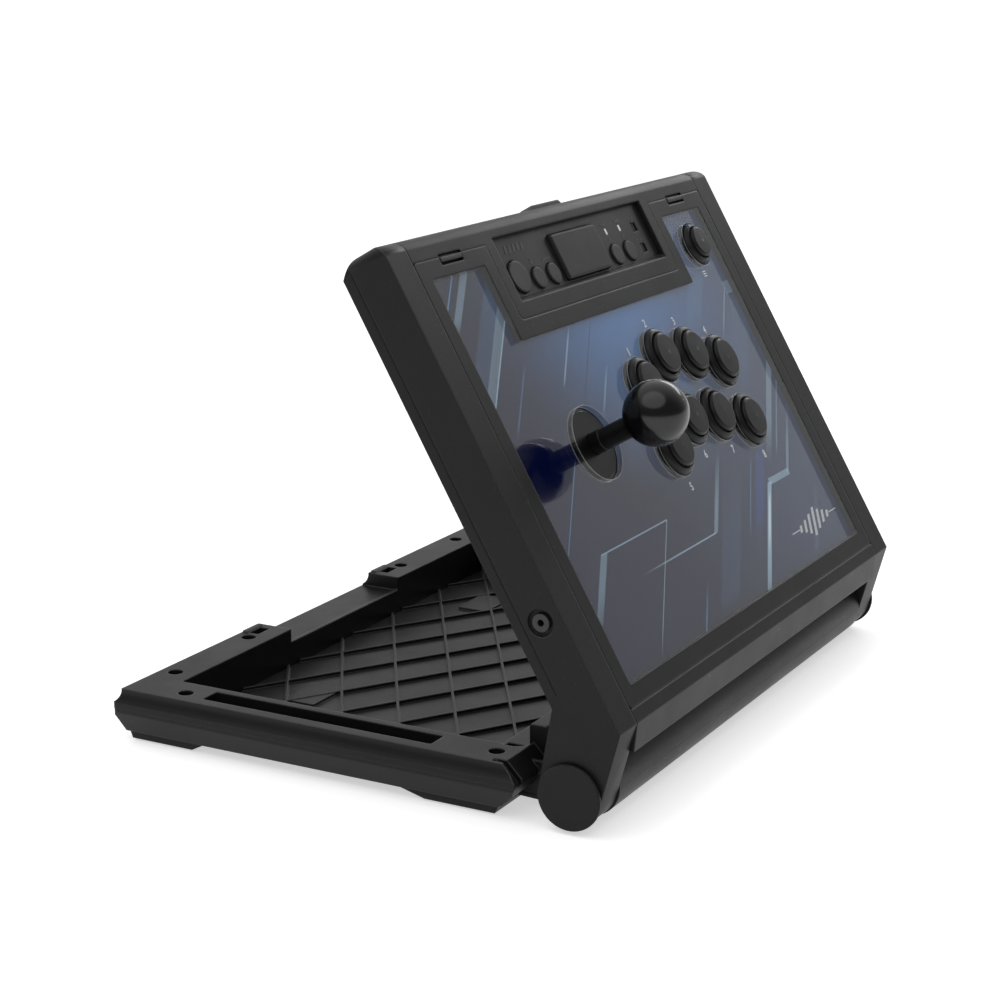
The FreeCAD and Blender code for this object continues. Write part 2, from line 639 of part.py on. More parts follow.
def lid_middle():
    """Middle moulding: front bar, back bar, function tongue and the deck frame."""
    half = STRIP - 0.1
    bar = profile_across([(LID_FRONT, LID_TOP), (PANEL_FRONT, LID_TOP), (PANEL_FRONT, 33.0),
                          (20.5, 31.0), (12.5, 24.0), (10.8, 26.0), (6.0, 31.9)], -half, half)
    back = profile_across([(PANEL_BACK + 0.15, LID_TOP), (LID_BACK, LID_TOP)] + lid_back_curve()
                          + [(274.0, LID_RIM), (279.0, 18.6), (281.3, 24.0),
                             ("arc", (280.9, 32.0), (278.0, LID_TOP - WALL)),
                             (PANEL_BACK + 0.15, LID_TOP - WALL)], -half, half)
    tongue = rounded_block(-TONGUE_HALF, TONGUE_HALF, TONGUE_FRONT, PANEL_BACK + 20,
                           RECESS_FLOOR + 0.05, LID_TOP, 3.0)
    tongue = tongue.common(block(-200, 200, 200, PANEL_BACK + 2, 0, ABOVE))
    deck = block(-half, half, 20.0, 276.0, DECK_LOW, DECK_TOP)
    deck = deck.cut([rounded_block(-157.5, 157.5, 42.0, 214.0, 0, ABOVE, 4.0),
                     rounded_block(-157.5, -112.0, 200.0, 257.0, 0, ABOVE, 4.0),
                     rounded_block(112.0, 157.5, 200.0, 257.0, 0, ABOVE, 4.0),
                     block(-95, 95, 228.0, 277.0, 0, ABOVE)])
    side_ledges = both_sides(block(half - 6.8, half, 24.0, 272.0, DECK_LOW, LEDGE_TOP))
    back_ledge = block(-half, half, 262.5, 274.0, DECK_LOW, LID_TOP - WALL + 0.1)
    tongue_walls = both_sides(block(TONGUE_HALF - 0.1, 101.0, 224, 272, DECK_LOW, LEDGE_TOP))
    tongue_walls += [block(-TONGUE_HALF, TONGUE_HALF, 226.6, 228.8, DECK_LOW, LEDGE_TOP),
                     block(-94.0, 94.0, 227.0, 228.8, DECK_LOW, LID_TOP - 1)]
    stiff = [block(-half, half, 262.5, 264.5, 24.0, 33.0),
             block(-half, half, 22.0, 24.0, 28.0, 33.0)]
    for x in (-150.0, -50.0, 50.0, 150.0):
        stiff.append(block(x - 0.9, x + 0.9, 263.0, 281.8, 19.5, LID_TOP - WALL))
    for s in (-1, 1):
        stiff.append(block(s * SCREW_LINE - 0.9, s * SCREW_LINE + 0.9, 24.0, 264.0, 26.0, 33.0))
    bosses = [rod(3.6, x, y, 24.0, 33.0) for x, y in lid_screw_places()]
    body = joined([bar, back, tongue, deck, back_ledge] + side_ledges + tongue_walls + stiff + bosses)
    gap = PANEL_BACK + 0.15
    cuts = [tongue_recess(),
            block(-172.6, -TONGUE_HALF - 0.1, TONGUE_FRONT - 2, gap, LEDGE_TOP + 0.05, ABOVE),
            block(TONGUE_HALF + 0.1, 172.6, TONGUE_FRONT - 2, gap, LEDGE_TOP + 0.05, ABOVE),
            back_seam_groove(-half - 1, half + 1)]
    cuts += [rod(1.5, x, y, 23, 40) for x, y in lid_screw_places()]
    cuts += clip_room(PANEL_BACK - 1, PANEL_BACK - 1, PANEL_BACK + 1.5)
    cuts += [release_window(),
             block(-92.3, 92.3, 229.8, 275.8, 20, RECESS_FLOOR + 0.05),
             block(-95.0, 95.0, 261.0, 266.0, 20, 32.3),
             block(-SCREW_LINE - 3, -SCREW_LINE + 3, JACK_Y - 3, JACK_Y + 3, 20, 29.5)]
    for s in (-1, 1):
        cuts.append(block(s * LATCH_X - 7.0, s * LATCH_X + 7.0, 255.0, 271.0, 20, 35.0))
    return body.cut(cuts)


def release_window():
    return block(RELEASE_LEFT - 1.0, RELEASE_RIGHT + 1.0, 275.0, 290.0, 23.4, 33.6)


def lid_screw_places():
    places = []
    for x in (-SCREW_LINE, SCREW_LINE):
        for y in SCREW_ROWS:
            places.append((x, y))
    return places


def hinge_caps():
    caps = []
    for sign in (-1, 1):
        cap = rod_across(17.25, LID_HALF + 1.5, LID_HALF + 3.2)
        rim = [e for e in cap.Edges if e.BoundBox.XMin > LID_HALF + 3.0]
        cap = cap.makeFillet(0.6, rim)
        neck = rod_across(13.5, LID_HALF - 3.5, LID_HALF + 1.6)
        cap = joined([cap, neck])
        caps.append(cap if sign > 0 else mirrored(cap))
    return Part.makeCompound(caps)


def headset_jack():
    barrel = ring_across(4.6, 1.8, -LID_HALF + 0.2, -LID_HALF + 14.0, JACK_Y, JACK_Z)
    body = block(-LID_HALF + 5.2, -LID_HALF + 17.0, JACK_Y - 5, JACK_Y + 5, JACK_Z - 4.0, JACK_Z + 4.0)
    hole = rod_across(1.8, -LID_HALF - 1, -LID_HALF + 13.0, JACK_Y, JACK_Z)
    lugs = [block(-LID_HALF + 17, -LID_HALF + 19, JACK_Y + y - 0.6, JACK_Y + y + 0.6,
                  JACK_Z - 3, JACK_Z - 1) for y in (-3.5, 0.0, 3.5)]
    return joined([barrel, body] + lugs).cut(hole)


def usb_socket():
    """Cable inlet on the back wall: a small shell with a tongue in it."""
    x = 40.0
    y0 = 268.5
    shell = rounded_box_deep(x - 4.5, x + 4.5, 27.0, 30.2, y0, 280.9, 1.5)
    hollow = rounded_box_deep(x - 4.2, x + 4.2, 27.3, 29.9, y0 + 2.0, 290, 1.25)
    tongue = block(x - 3.3, x + 3.3, y0 + 1, 279.0, 28.25, 28.95)
    return joined([shell.cut(hollow), tongue])


def rounded_box_deep(x0, x1, z0, z1, y0, y1, radius):
    shape = block(x0, x1, y0, y1, z0, z1)
    along = [e for e in shape.Edges if abs(e.tangentAt(e.FirstParameter).y) > 0.99]
    return shape.makeFillet(radius, along)


# ---------------------------------------------------------------- top panel

def panel_outline(grow, z0, z1):
    outer = rounded_block(-PANEL_HALF - grow, PANEL_HALF + grow, PANEL_FRONT + 0.2 - grow,
                          PANEL_BACK + grow, z0, z1, 2.5)
    notch = rounded_block(-TONGUE_HALF - 0.2 + grow, TONGUE_HALF + 0.2 - grow,
                          TONGUE_FRONT - 0.2 + grow, PANEL_BACK + 20, z0 - 1, z1 + 1, 3.2)
    return outer.cut(notch)


def window_outline(gap, z0, z1):
    outer = rounded_block(-WINDOW_HALF + gap, WINDOW_HALF - gap, WINDOW_FRONT + gap,
                          WINDOW_BACK - gap, z0, z1, 1.5)
    notch = rounded_block(-WINDOW_NOTCH_HALF - gap, WINDOW_NOTCH_HALF + gap,
                          WINDOW_NOTCH_FRONT - gap, WINDOW_BACK + 20, z0 - 1, z1 + 1, 1.5)
    return outer.cut(notch)


def panel_frame():
    frame = panel_outline(0.0, PLATE_TOP + 0.1, LID_TOP)
    window = window_outline(0.0, PLATE_TOP, LID_TOP + 1)
    frame = frame.cut(window)
    return frame.cut(clip_room(265.0, 264.7, PANEL_BACK + 1))


def clip_room(slot_front, pocket_front, back):
    """Open slots for the clip grips over wider pockets for the clips themselves."""
    rooms = []
    for x in (-CLIP_X, CLIP_X):
        rooms.append(block(x - CLIP_SLOT_HALF, x + CLIP_SLOT_HALF, slot_front, back,
                           CLIP_LOW - 0.2, ABOVE))
        rooms.append(block(x - CLIP_HALF - 0.3, x + CLIP_HALF + 0.3, pocket_front, back,
                           CLIP_LOW - 0.2, CLIP_SKIN))
    return rooms


def panel_holes(button, option, stick, z0, z1):
    holes = [rod(button, x, y, z0, z1) for x, y in BUTTONS]
    holes.append(rod(option, OPTION_BUTTON[0], OPTION_BUTTON[1], z0, z1))
    holes.append(rod(stick, STICK_X, STICK_Y, z0, z1))
    return holes


def acrylic_window():
    sheet = window_outline(0.15, ACRYLIC_LOW, ACRYLIC_TOP)
    return sheet.cut(panel_holes(16.75, 14.2, WASHER_HOLE_IN_WINDOW, 0, ABOVE))


def artwork_sheet():
    sheet = window_outline(0.3, PLATE_TOP + 0.03, ART_TOP)
    return sheet.cut(panel_holes(16.4, 13.4, WASHER_HOLE_IN_WINDOW, 0, ABOVE))


def mounting_plate():
    plate = rounded_block(-164.8, 164.8, 29.0, 262.0, PLATE_LOW, PLATE_TOP, 5.0)
    notch = rounded_block(-103.5, 103.5, 221.0, 300.0, 0, ABOVE, 4.0)
    screws = [rod(1.8, x, y, 0, ABOVE) for x, y in lid_screw_places()]
    stick_screws = [rod(2.2, x, y, 0, ABOVE) for x, y in stick_screw_places()]
    return plate.cut([notch] + panel_holes(15.1, 12.1, 13.0, 0, ABOVE) + screws + stick_screws)


def stick_screw_places():
    return [(STICK_X + dx, STICK_Y + dy) for dx in (-42.0, 42.0) for dy in (-20.0, 20.0)]


def lid_screws():
    """Screws that hold the plate to the deck and the stick bracket to the plate."""
    shapes = [pan_screw(x, y, 24.0, 8.0) for x, y in lid_screw_places()]
    flipped = []
    for shape, place in zip(shapes, lid_screw_places()):
        turn = shape.copy()
        turn.rotate(Vec(place[0], place[1], 24.0), ACROSS, 180)
        turn.translate(Vec(0, 0, -0.05))
        flipped.append(turn)
    for x, y in stick_screw_places():
        stud = turned([(0, 28.6), (3.2, 28.6), (3.2, 30.4), (2.0, 30.4), (2.0, 36.5),
                       (0, 36.5)], x, y)
        flipped.append(stud)
    return Part.makeCompound(flipped)


# ---------------------------------------------------------------- function panel

def function_plate():
    plate = block(-92.0, 92.0, 230.0, 275.5, 35.6, RECESS_FLOOR)
    holes = [rod(9.6, HOME[0], HOME[1], 0, ABOVE)]
    holes += [rod(6.5, x, y, 0, ABOVE) for x, y in SMALL_BUTTONS]
    holes.append(rounded_block(TOUCHPAD[0] - 27.3, TOUCHPAD[0] + 27.3, TOUCHPAD[1] - 13.8,
                               TOUCHPAD[1] + 13.8, 0, ABOVE, 2.3))
    holes += [upright_block(place, (LED_HALF[0] + 0.1, LED_HALF[1] + 0.1), 0, ABOVE)
              for place in LED_SLOTS]
    holes += [upright_block(place, SLOT_HALF, 0, ABOVE) for place in SLIDE_SWITCHES]
    return plate.cut(holes)


def cap_button(radius, place, top):
    x, y = place
    return turned([(0, 33.4), (radius * 0.55, 33.4), (radius * 0.55, 34.6), (radius + 1.0, 34.6),
                   (radius + 1.0, 35.4), (radius, 35.4), (radius, top - 0.6),
                   ("arc", (radius - 0.2, top - 0.15), (radius - 0.7, top)),
                   (0, top)], x, y)


def touchpad():
    x, y = TOUCHPAD
    wide, deep = TOUCHPAD_SIZE
    pad = rounded_block(x - wide / 2, x + wide / 2, y - deep / 2, y + deep / 2,
                        34.6, RECESS_FLOOR + 2.6, 2.0)
    top = [e for e in pad.Edges if e.BoundBox.ZMin > RECESS_FLOOR + 2.5]
    pad = pad.makeChamfer(0.9, top)
    flange = rounded_block(x - wide / 2 - 1.2, x + wide / 2 + 1.2, y - deep / 2 - 1.2,
                           y + deep / 2 + 1.2, 34.4, 35.2, 2.5)
    stem = rod(1.6, x, y, 33.0, 35.0)
    return joined([pad, flange, stem])


def slide_knob(place):
    """Ridged slider that stands at the left end of its slot."""
    left = place[0] - SLOT_HALF[0] + 0.2
    y = place[1]
    reach = SLOT_HALF[1] - 0.3
    top = RECESS_FLOOR - 0.3
    knob = block(left, left + KNOB_WIDE, y - reach, y + reach, 33.4, top)
    grooves = [block(left + dx - 0.3, left + dx + 0.3, y - 5, y + 5, top - 0.7, ABOVE)
               for dx in (1.15, 2.25)]
    return knob.cut(grooves)


def led_pipes():
    pipes = []
    for place in LED_SLOTS:
        pipes.append(upright_block(place, LED_HALF, 33.2, RECESS_FLOOR + 0.1))
    return Part.makeCompound(pipes)


def main_board():
    """Circuit board under the function panel with its switches and chips."""
    board = rounded_block(-92.0, 92.0, 234.0, 262.0, BOARD_LOW, BOARD_TOP, 2.0)
    parts = [block(-12, 12, 240, 252, BOARD_LOW - 2.2, BOARD_LOW),
             block(20, 34, 238, 248, BOARD_LOW - 1.8, BOARD_LOW),
             block(-70, -52, 240, 250, BOARD_LOW - 8.0, BOARD_LOW),
             block(-46, -34, 240, 250, BOARD_LOW - 8.0, BOARD_LOW)]
    places = [HOME] + SMALL_BUTTONS + [TOUCHPAD]
    for x, y in places:
        parts.append(block(x - 3, x + 3, y - 3, y + 3, BOARD_TOP - 0.1, BOARD_TOP + 1.6))
    for x, y in SLIDE_SWITCHES:
        parts.append(block(x - 4.2, x + 4.2, y - 3.4, y + 3.4, BOARD_TOP - 0.1, BOARD_TOP + 1.9))
    posts = [rod(2.4, x, y, BOARD_TOP - 0.1, 35.5) for x in (-88.0, 88.0) for y in (237.0, 259.0)]
    socket_lug = block(36.0, 45.0, 258.0, 268.4, 27.4, 29.2)
    return joined([board, socket_lug] + parts + posts)


def panel_clip(sign):
    """Tab in the removable panel that slides forward to free its back edge."""
    x = sign * CLIP_X
    body = block(x - CLIP_HALF, x + CLIP_HALF, 265.0 + CLIP_TRAVEL, PANEL_BACK + 1.2,
                 CLIP_LOW, CLIP_SKIN - 0.1)
    grip = block(x - CLIP_SLOT_HALF + 0.7, x + CLIP_SLOT_HALF - 0.7, 265.2 + CLIP_TRAVEL,
                 PANEL_BACK - 0.1, CLIP_SKIN - 0.2, LID_TOP + 0.3)
    top = [e for e in grip.Edges if e.BoundBox.ZMin > LID_TOP + 0.2]
    return joined([body, grip.makeFillet(0.35, top)])


# ---------------------------------------------------------------- latch

def release_button():
    """Wide push tab on the back wall; pressing it in frees both hooks."""
    tab = profile_up([(RELEASE_LEFT, 277.0), (RELEASE_LEFT, 283.2), (RELEASE_LEFT + 8.0, 286.6),
                      (RELEASE_RIGHT - 3.0, 286.6), (RELEASE_RIGHT, 283.2),
                      (RELEASE_RIGHT, 277.0)], 24.2, 32.8)
    body = block(RELEASE_LEFT + 2.5, RELEASE_RIGHT - 2.5, 268.0, 277.2, 25.0, 32.0)
    body = body.cut(block(RELEASE_LEFT + 5.5, RELEASE_RIGHT - 5.5, 269.5, 276, 20, 40))
    return joined([tab, body])


def latch_hook(sign):
    """Hook that swings about an X pin and catches under the tray keeper."""
    x = sign * LATCH_X
    arm = profile_across([(LATCH_Y - 0.8, 29.0), (LATCH_Y - 0.8, -3.0), (LATCH_Y - 0.2, -5.6),
                          (LATCH_Y + 2.6, -2.8), (LATCH_Y + 2.6, -1.9), (LATCH_Y + 1.4, -1.9),
                          (LATCH_Y + 1.4, 29.0)], x - 4.8, x + 4.8)
    hub = rod_across(3.4, x - 4.8, x + 4.8, LATCH_Y - 0.5, 29.0)
    pin = rod_across(1.5, x - 6.4, x + 6.4, LATCH_Y - 0.5, 29.0)
    return joined([arm, hub, pin])


# ---------------------------------------------------------------- buttons

def button_body(x, y, scale=1.0):
    """Bezel ring with a threaded barrel below the plate and a closed bottom."""
    bezel = BEZEL_RADIUS * scale
    lip = 13.4 * scale
    bore = 12.5 * scale
    barrel = BODY_RADIUS * scale
    seat = PLATE_TOP + 0.05
    top = BEZEL_TOP if scale == 1.0 else BEZEL_TOP - 0.4
    body = turned([(bore, seat - 3), (bore, top - 1.3), ("arc", (bore + 0.35, top - 0.35), (lip, top)),
                   ("arc", (bezel - 0.9, top - 1.0), (bezel, top - 3.2)), (bezel, seat),
                   (barrel, seat), (barrel, BODY_BOTTOM), (bore - 1.0, BODY_BOTTOM),
                   (bore - 1.0, SWITCH_LOW - 0.2), (bore, SWITCH_LOW - 0.2)], x, y)
    bottom = rod(barrel, x, y, BODY_BOTTOM, SWITCH_LOW - 0.4)
    slots = [block(x - 1.0, x + 1.0, y + dy - 3.2, y + dy + 3.2, 10, 21.0) for dy in (-5.0, 5.0)]
    return joined([body, bottom]).cut(slots)


def button_bodies():
    bodies = [button_body(x, y) for x, y in BUTTONS]
    bodies.append(button_body(OPTION_BUTTON[0], OPTION_BUTTON[1], OPTION_SCALE))
    return Part.makeCompound(bodies)


def button_nuts():
    """Knurled ring nuts that clamp each button body to the plate."""
    nuts = []
    places = [(x, y, 1.0) for x, y in BUTTONS] + [OPTION_BUTTON + (OPTION_SCALE,)]
    for x, y, scale in places:
        nut = ring(16.9 * scale, BODY_RADIUS * scale + 0.05, x, y, 29.6, PLATE_LOW - 0.05)
        notches = []
        for k in range(12):
            angle = math.radians(30 * k)
            notches.append(rod(1.0, x + 17.2 * scale * math.cos(angle),
                               y + 17.2 * scale * math.sin(angle), 28, 34.0))
        nuts.append(nut.cut(notches))
    return Part.makeCompound(nuts)


def button_switches():
    """Snap switch inside each button body, with its terminals out of the bottom."""
    switches = []
    for x, y in BUTTONS + [OPTION_BUTTON]:
        case = upright_block((x, y), (3.1, 7.5), SWITCH_LOW, SWITCH_TOP)
        key = upright_block((x, y), (1.4, 2.0), SWITCH_TOP - 0.1, SWITCH_TOP + 1.2)
        pins = [upright_block((x, y + dy), (0.4, 2.3), SWITCH_LOW - 7.2, SWITCH_LOW + 0.1)
                for dy in (-5.0, 5.0)]
        switches.append(joined([case, key] + pins))
    return Part.makeCompound(switches)


def plunger(x, y, scale=1.0):
    radius = PLUNGER_RADIUS * scale
    top = PLUNGER_TOP if scale == 1.0 else PLUNGER_TOP - 0.4
    cap = turned([(0, top), (radius - 1.9, top - 0.25),
                  ("arc", (radius - 0.5, top - 0.8), (radius, top - 2.0)),
                  (radius, 36.0), (radius - 1.4, 36.0), (radius - 1.4, top - 3.4),
                  (1.6, top - 3.4), (1.6, 32.2), (0, 32.2)], x, y)
    return cap


# ---------------------------------------------------------------- joystick

def at_stick(points):
    return turned(points, STICK_X, STICK_Y)


def stick_bracket():
    plate = rounded_block(STICK_X - 48, STICK_X + 48, STICK_Y - 26, STICK_Y + 26,
                          33.6, PLATE_LOW - 0.1, 4.0)
    holes = [rod(2.1, x, y, 0, ABOVE) for x, y in stick_screw_places()]
    return plate.cut([rod(9.6, STICK_X, STICK_Y, 0, ABOVE)] + holes)


def stick_housing():
    """Square body under the bracket with a round seat for the pivot ball."""
    x, y = STICK_X, STICK_Y
    half = HOUSING_HALF
    outer = rounded_block(x - half, x + half, y - half, y + half, HOUSING_LOW, HOUSING_TOP, 3.0)
    inner = upright_block((x, y), (half - 2.4, half - 2.4), 0, HOUSING_TOP - 2.5)
    windows = [upright_block((x, y), (16.0, 40.0), 0, 18.0),
               upright_block((x, y), (40.0, 16.0), 0, 18.0)]
    seat = rod(12.5, x, y, PIVOT_HEIGHT - CRADLE_HALF, HOUSING_TOP)
    socket = Part.makeSphere(SOCKET_RADIUS, Vec(x, y, PIVOT_HEIGHT))
    throat = rod(8.0, x, y, PIVOT_HEIGHT, 40)
    ribs = [upright_block((x, y), (27.0, 0.9), 26.5, 32.0),
            upright_block((x, y), (0.9, 27.0), 26.5, 32.0)]
    body = joined([outer.cut([inner] + windows), seat] + ribs)
    plug_way = block(x - 26.5, x - 18.5, y + 20, y + 32, 0, 17.5)
    return body.cut([socket, throat, plug_way])


def stick_gate():
    """Restrictor plate with the square opening that limits the stick."""
    x, y = STICK_X, STICK_Y
    half = HOUSING_HALF
    plate = rounded_block(x - half, x + half, y - half, y + half, GATE_LOW, GATE_TOP, 3.0)
    opening = rounded_block(x - 8.9, x + 8.9, y - 8.9, y + 8.9, 0, 20, 2.0)
    corners = [rod(2.0, x + sx * 22, y + sy * 22, 0, 20) for sx in (-1, 1) for sy in (-1, 1)]
    collar = rounded_block(x - 12.5, x + 12.5, y - 12.5, y + 12.5, GATE_LOW - 1.5,
                           GATE_LOW + 0.1, 3.0)
    return joined([plate, collar]).cut([opening] + corners)


def stick_switches():
    """Board with four snap switches round the actuator and a plug socket."""
    x, y = STICK_X, STICK_Y
    board = upright_block((x, y), (26.3, 26.3), STICK_BOARD_LOW, STICK_BOARD_TOP)
    board = board.cut(rod(10.5, x, y, 0, ABOVE))
    parts = []
    for turn in range(4):
        case = block(x + 12.4, x + 18.8, y - 10.0, y + 10.0, 9.4, STICK_BOARD_LOW + 0.1)
        key = block(x + 11.2, x + 12.5, y - 2.2, y + 2.2, 11.4, 14.2)
        switch = joined([case, key])
        switch.rotate(Vec(x, y, 0), UP, 90 * turn)
        parts.append(switch)
    socket = block(x - 25.6, x - 19.6, y + 19.5, y + 25.5, 12.0, STICK_BOARD_LOW + 0.1)
    return joined([board, socket] + parts)


def stick_spring():
    """Return spring round the shaft, between the cradle and the actuator."""
    coil_radius = 7.2
    wire_radius = 0.55
    low = 17.6
    rise = 4.4
    turns = 3.4
    steps = 34
    points = []
    for step in range(steps + 1):
        angle = 2 * math.pi * turns * step / steps
        points.append(Vec(STICK_X + coil_radius * math.cos(angle),
                          STICK_Y + coil_radius * math.sin(angle), low + rise * step / steps))
    curve = Part.BSplineCurve()
    curve.interpolate(points)
    section = Part.Wire([Part.makeCircle(wire_radius, points[0], curve.tangent(0)[0])])
    return Part.Wire([curve.toShape()]).makePipeShell([section], True, True)


def stick_actuator():
    return at_stick([(SHAFT_RADIUS, 9.6), (8.0, 9.6), (8.3, 10.4), (8.3, 15.6), (7.4, 16.9),
                     (SHAFT_RADIUS, 16.9)])


def stick_pivot():
    """Ball on the shaft that turns in the cradle."""
    ball = Part.makeSphere(PIVOT_RADIUS, Vec(STICK_X, STICK_Y, PIVOT_HEIGHT))
    ball = ball.common(rod(20, STICK_X, STICK_Y, PIVOT_HEIGHT - 4.5, PIVOT_HEIGHT + 4.5))
    return ball.cut(rod(SHAFT_RADIUS, STICK_X, STICK_Y, 0, ABOVE))


def stick_cradle():
    """Round shell between the housing socket and the ball on the shaft."""
    centre = Vec(STICK_X, STICK_Y, PIVOT_HEIGHT)
    shell = Part.makeSphere(CRADLE_OUTER, centre).cut(Part.makeSphere(CRADLE_INNER, centre))
    return shell.common(rod(20, STICK_X, STICK_Y, PIVOT_HEIGHT - CRADLE_HALF,
                            PIVOT_HEIGHT + CRADLE_HALF))


def stick_shaft():
    shaft = at_stick([(0, -1.5), (3.6, -1.5), (SHAFT_RADIUS, -0.3), (SHAFT_RADIUS, SHAFT_TOP),
                      (THREAD_RADIUS, SHAFT_TOP), (THREAD_RADIUS, THREAD_TOP), (0, THREAD_TOP)])
    clip = at_stick([(0, 9.0), (6.4, 9.0), (6.4, 9.55), (0, 9.55)])
    return joined([shaft, clip])


def stick_shaft_cover():
    inner = SHAFT_RADIUS + 0.02
    return at_stick([(inner, COVER_LOW), (COVER_RADIUS, COVER_LOW), (COVER_RADIUS, COLLAR_LOW),
                     (COLLAR_RADIUS, COLLAR_LOW), (COLLAR_RADIUS, COLLAR_TOP),
                     (COVER_RADIUS, COLLAR_TOP + 0.6), (COVER_RADIUS, COVER_TOP),
                     (inner, COVER_TOP)])


def stick_ball():
    ball = Part.makeSphere(BALL_RADIUS, Vec(STICK_X, STICK_Y, BALL_HEIGHT))
    bore = rod(SHAFT_RADIUS, STICK_X, STICK_Y, 0, SHAFT_TOP + 0.1)
    thread = rod(THREAD_RADIUS, STICK_X, STICK_Y, SHAFT_TOP, THREAD_TOP + 0.1)
    mouth = rod(COVER_RADIUS + 0.05, STICK_X, STICK_Y, 0, COVER_TOP + 0.1)
    return ball.cut([bore, thread, mouth])


def dust_washer():
    bore = COLLAR_RADIUS + 0.1
    return at_stick([(bore, WASHER_LOW), (WASHER_RADIUS, WASHER_LOW),
                     (WASHER_RADIUS, WASHER_TOP - 0.4), (WASHER_RADIUS - 0.4, WASHER_TOP),
                     (bore, WASHER_TOP)])


def lower_washer():
    return ring(10.8, 8.6, STICK_X, STICK_Y, 35.5, 36.5)


# ---------------------------------------------------------------- wiring

def cable(points, radius, bend):
    """Round cable through straight runs joined by even bends."""
    edges = []
    last = Vec(*points[0])
    for before, corner, after in zip(points, points[1:], points[2:]):
        corner = Vec(*corner)
        inward = (Vec(*before) - corner).normalize()
        outward = (Vec(*after) - corner).normalize()
        half_angle = inward.getAngle(outward) / 2
        trim = bend / math.tan(half_angle)
        first = corner + inward * trim
        second = corner + outward * trim
        centre_line = (inward + outward).normalize()
        depth = bend / math.sin(half_angle) - bend
        middle = corner + centre_line * depth
        edges.append(Part.LineSegment(last, first).toShape())
        edges.append(Part.Arc(first, middle, second).toShape())
        last = second
    edges.append(Part.LineSegment(last, Vec(*points[-1])).toShape())
    path = Part.Wire(edges)
    start = Vec(*points[0])
    heading = Vec(*points[1]) - start
    section = Part.Wire([Part.makeCircle(radius, start, heading)])
    return path.makePipeShell([section], True, False)


def wiring():
    """Button loom and stick loom from the circuit board, held inside the lid."""
    plug_x = STICK_X - 22.6
    plug_y = STICK_Y + 25.6
    low = 10.4
    looms = [cable([(-61.0, 245.0, 20.9), (-61.0, 245.0, low), (-61.0, 212.0, low),
                    (plug_x, 212.0, low), (plug_x, 198.0, low), (plug_x, 198.0 - 9, 15.0),
                    (plug_x, plug_y, 15.0)], 1.5, 3.0),
             cable([(-40.0, 245.0, 20.9), (-40.0, 245.0, low), (-40.0, 205.0, low),
                    (11.0, 205.0, low), (11.0, 154.5, low), (112.0, 154.5, low)], 1.8, 6.0),
             cable([(-LID_HALF + 19.2, JACK_Y, JACK_Z - 2.3), (-153.0, JACK_Y, JACK_Z - 2.3),
                    (-153.0, 222.0, JACK_Z - 2.3), (-110.0, 222.0, JACK_Z - 2.3),
                    (-110.0, 245.0, JACK_Z - 2.3), (-92.1, 245.0, JACK_Z + 1.4)], 1.3, 5.0)]
    return Part.makeCompound(looms)


def build():
    os.makedirs("parts", exist_ok=True)
    tray = {"tray_upper": tray_upper, "tray_lower": tray_lower, "rubber_feet": rubber_feet,
            "tray_screws": tray_screws, "latch_strikes": latch_strikes,
            "hinge_pins": hinge_pins}
    for name, make in tray.items():
        save(tray_part(make()), name)
    lid = {"lid_middle": lid_middle, "hinge_caps": hinge_caps, "headset_jack": headset_jack,
           "usb_socket": usb_socket, "panel_frame": panel_frame,
           "acrylic_window": acrylic_window, "artwork_sheet": artwork_sheet,
           "mounting_plate": mounting_plate, "lid_screws": lid_screws,
           "function_plate": function_plate, "led_pipes": led_pipes, "touchpad": touchpad,
           "main_board": main_board, "release_button": release_button,
           "button_bodies": button_bodies, "button_nuts": button_nuts,
           "button_switches": button_switches, "stick_bracket": stick_bracket,
           "stick_housing": stick_housing, "stick_gate": stick_gate,
           "stick_switches": stick_switches, "stick_spring": stick_spring,
           "stick_actuator": stick_actuator, "stick_pivot": stick_pivot,
           "stick_cradle": stick_cradle,
           "stick_shaft": stick_shaft, "stick_shaft_cover": stick_shaft_cover,
           "stick_ball": stick_ball, "dust_washer": dust_washer,
           "lower_washer": lower_washer, "wiring": wiring}
    for name, make in lid.items():
        save(lid_part(make()), name)
    for name, sign in (("left", -1), ("right", 1)):
        save(lid_part(lid_side(sign)), "lid_side_" + name)
        save(lid_part(panel_clip(sign)), "panel_clip_" + name)
        save(lid_part(latch_hook(sign)), "latch_hook_" + name)
    for number, (x, y) in enumerate(BUTTONS, 1):
        save(lid_part(plunger(x, y)), "plunger_" + str(number))
    save(lid_part(plunger(OPTION_BUTTON[0], OPTION_BUTTON[1], OPTION_SCALE)), "plunger_option")
    save(lid_part(cap_button(9.25, HOME, RECESS_FLOOR + 1.4)), "home_button")
    for number, place in enumerate(SMALL_BUTTONS, 1):
        save(lid_part(cap_button(6.2, place, RECESS_FLOOR + 1.3)), "small_button_" + str(number))
    for number, place in enumerate(SLIDE_SWITCHES, 1):
        save(lid_part(slide_knob(place)), "slide_knob_" + str(number))


build()
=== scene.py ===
import json
import math

import bmesh
import bpy
from mathutils import Matrix, Vector


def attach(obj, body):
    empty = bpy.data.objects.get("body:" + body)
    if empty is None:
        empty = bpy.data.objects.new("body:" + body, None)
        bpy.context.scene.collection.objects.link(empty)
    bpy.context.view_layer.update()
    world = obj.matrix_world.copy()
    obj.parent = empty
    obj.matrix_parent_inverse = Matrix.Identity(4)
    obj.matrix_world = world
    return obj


# Looks for the clamshell joystick panel.  Metres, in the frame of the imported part.
# Lid pieces are drawn in panel coordinates (across, up the panel, out of the panel)
# and are then laid on the open lid by PANEL.

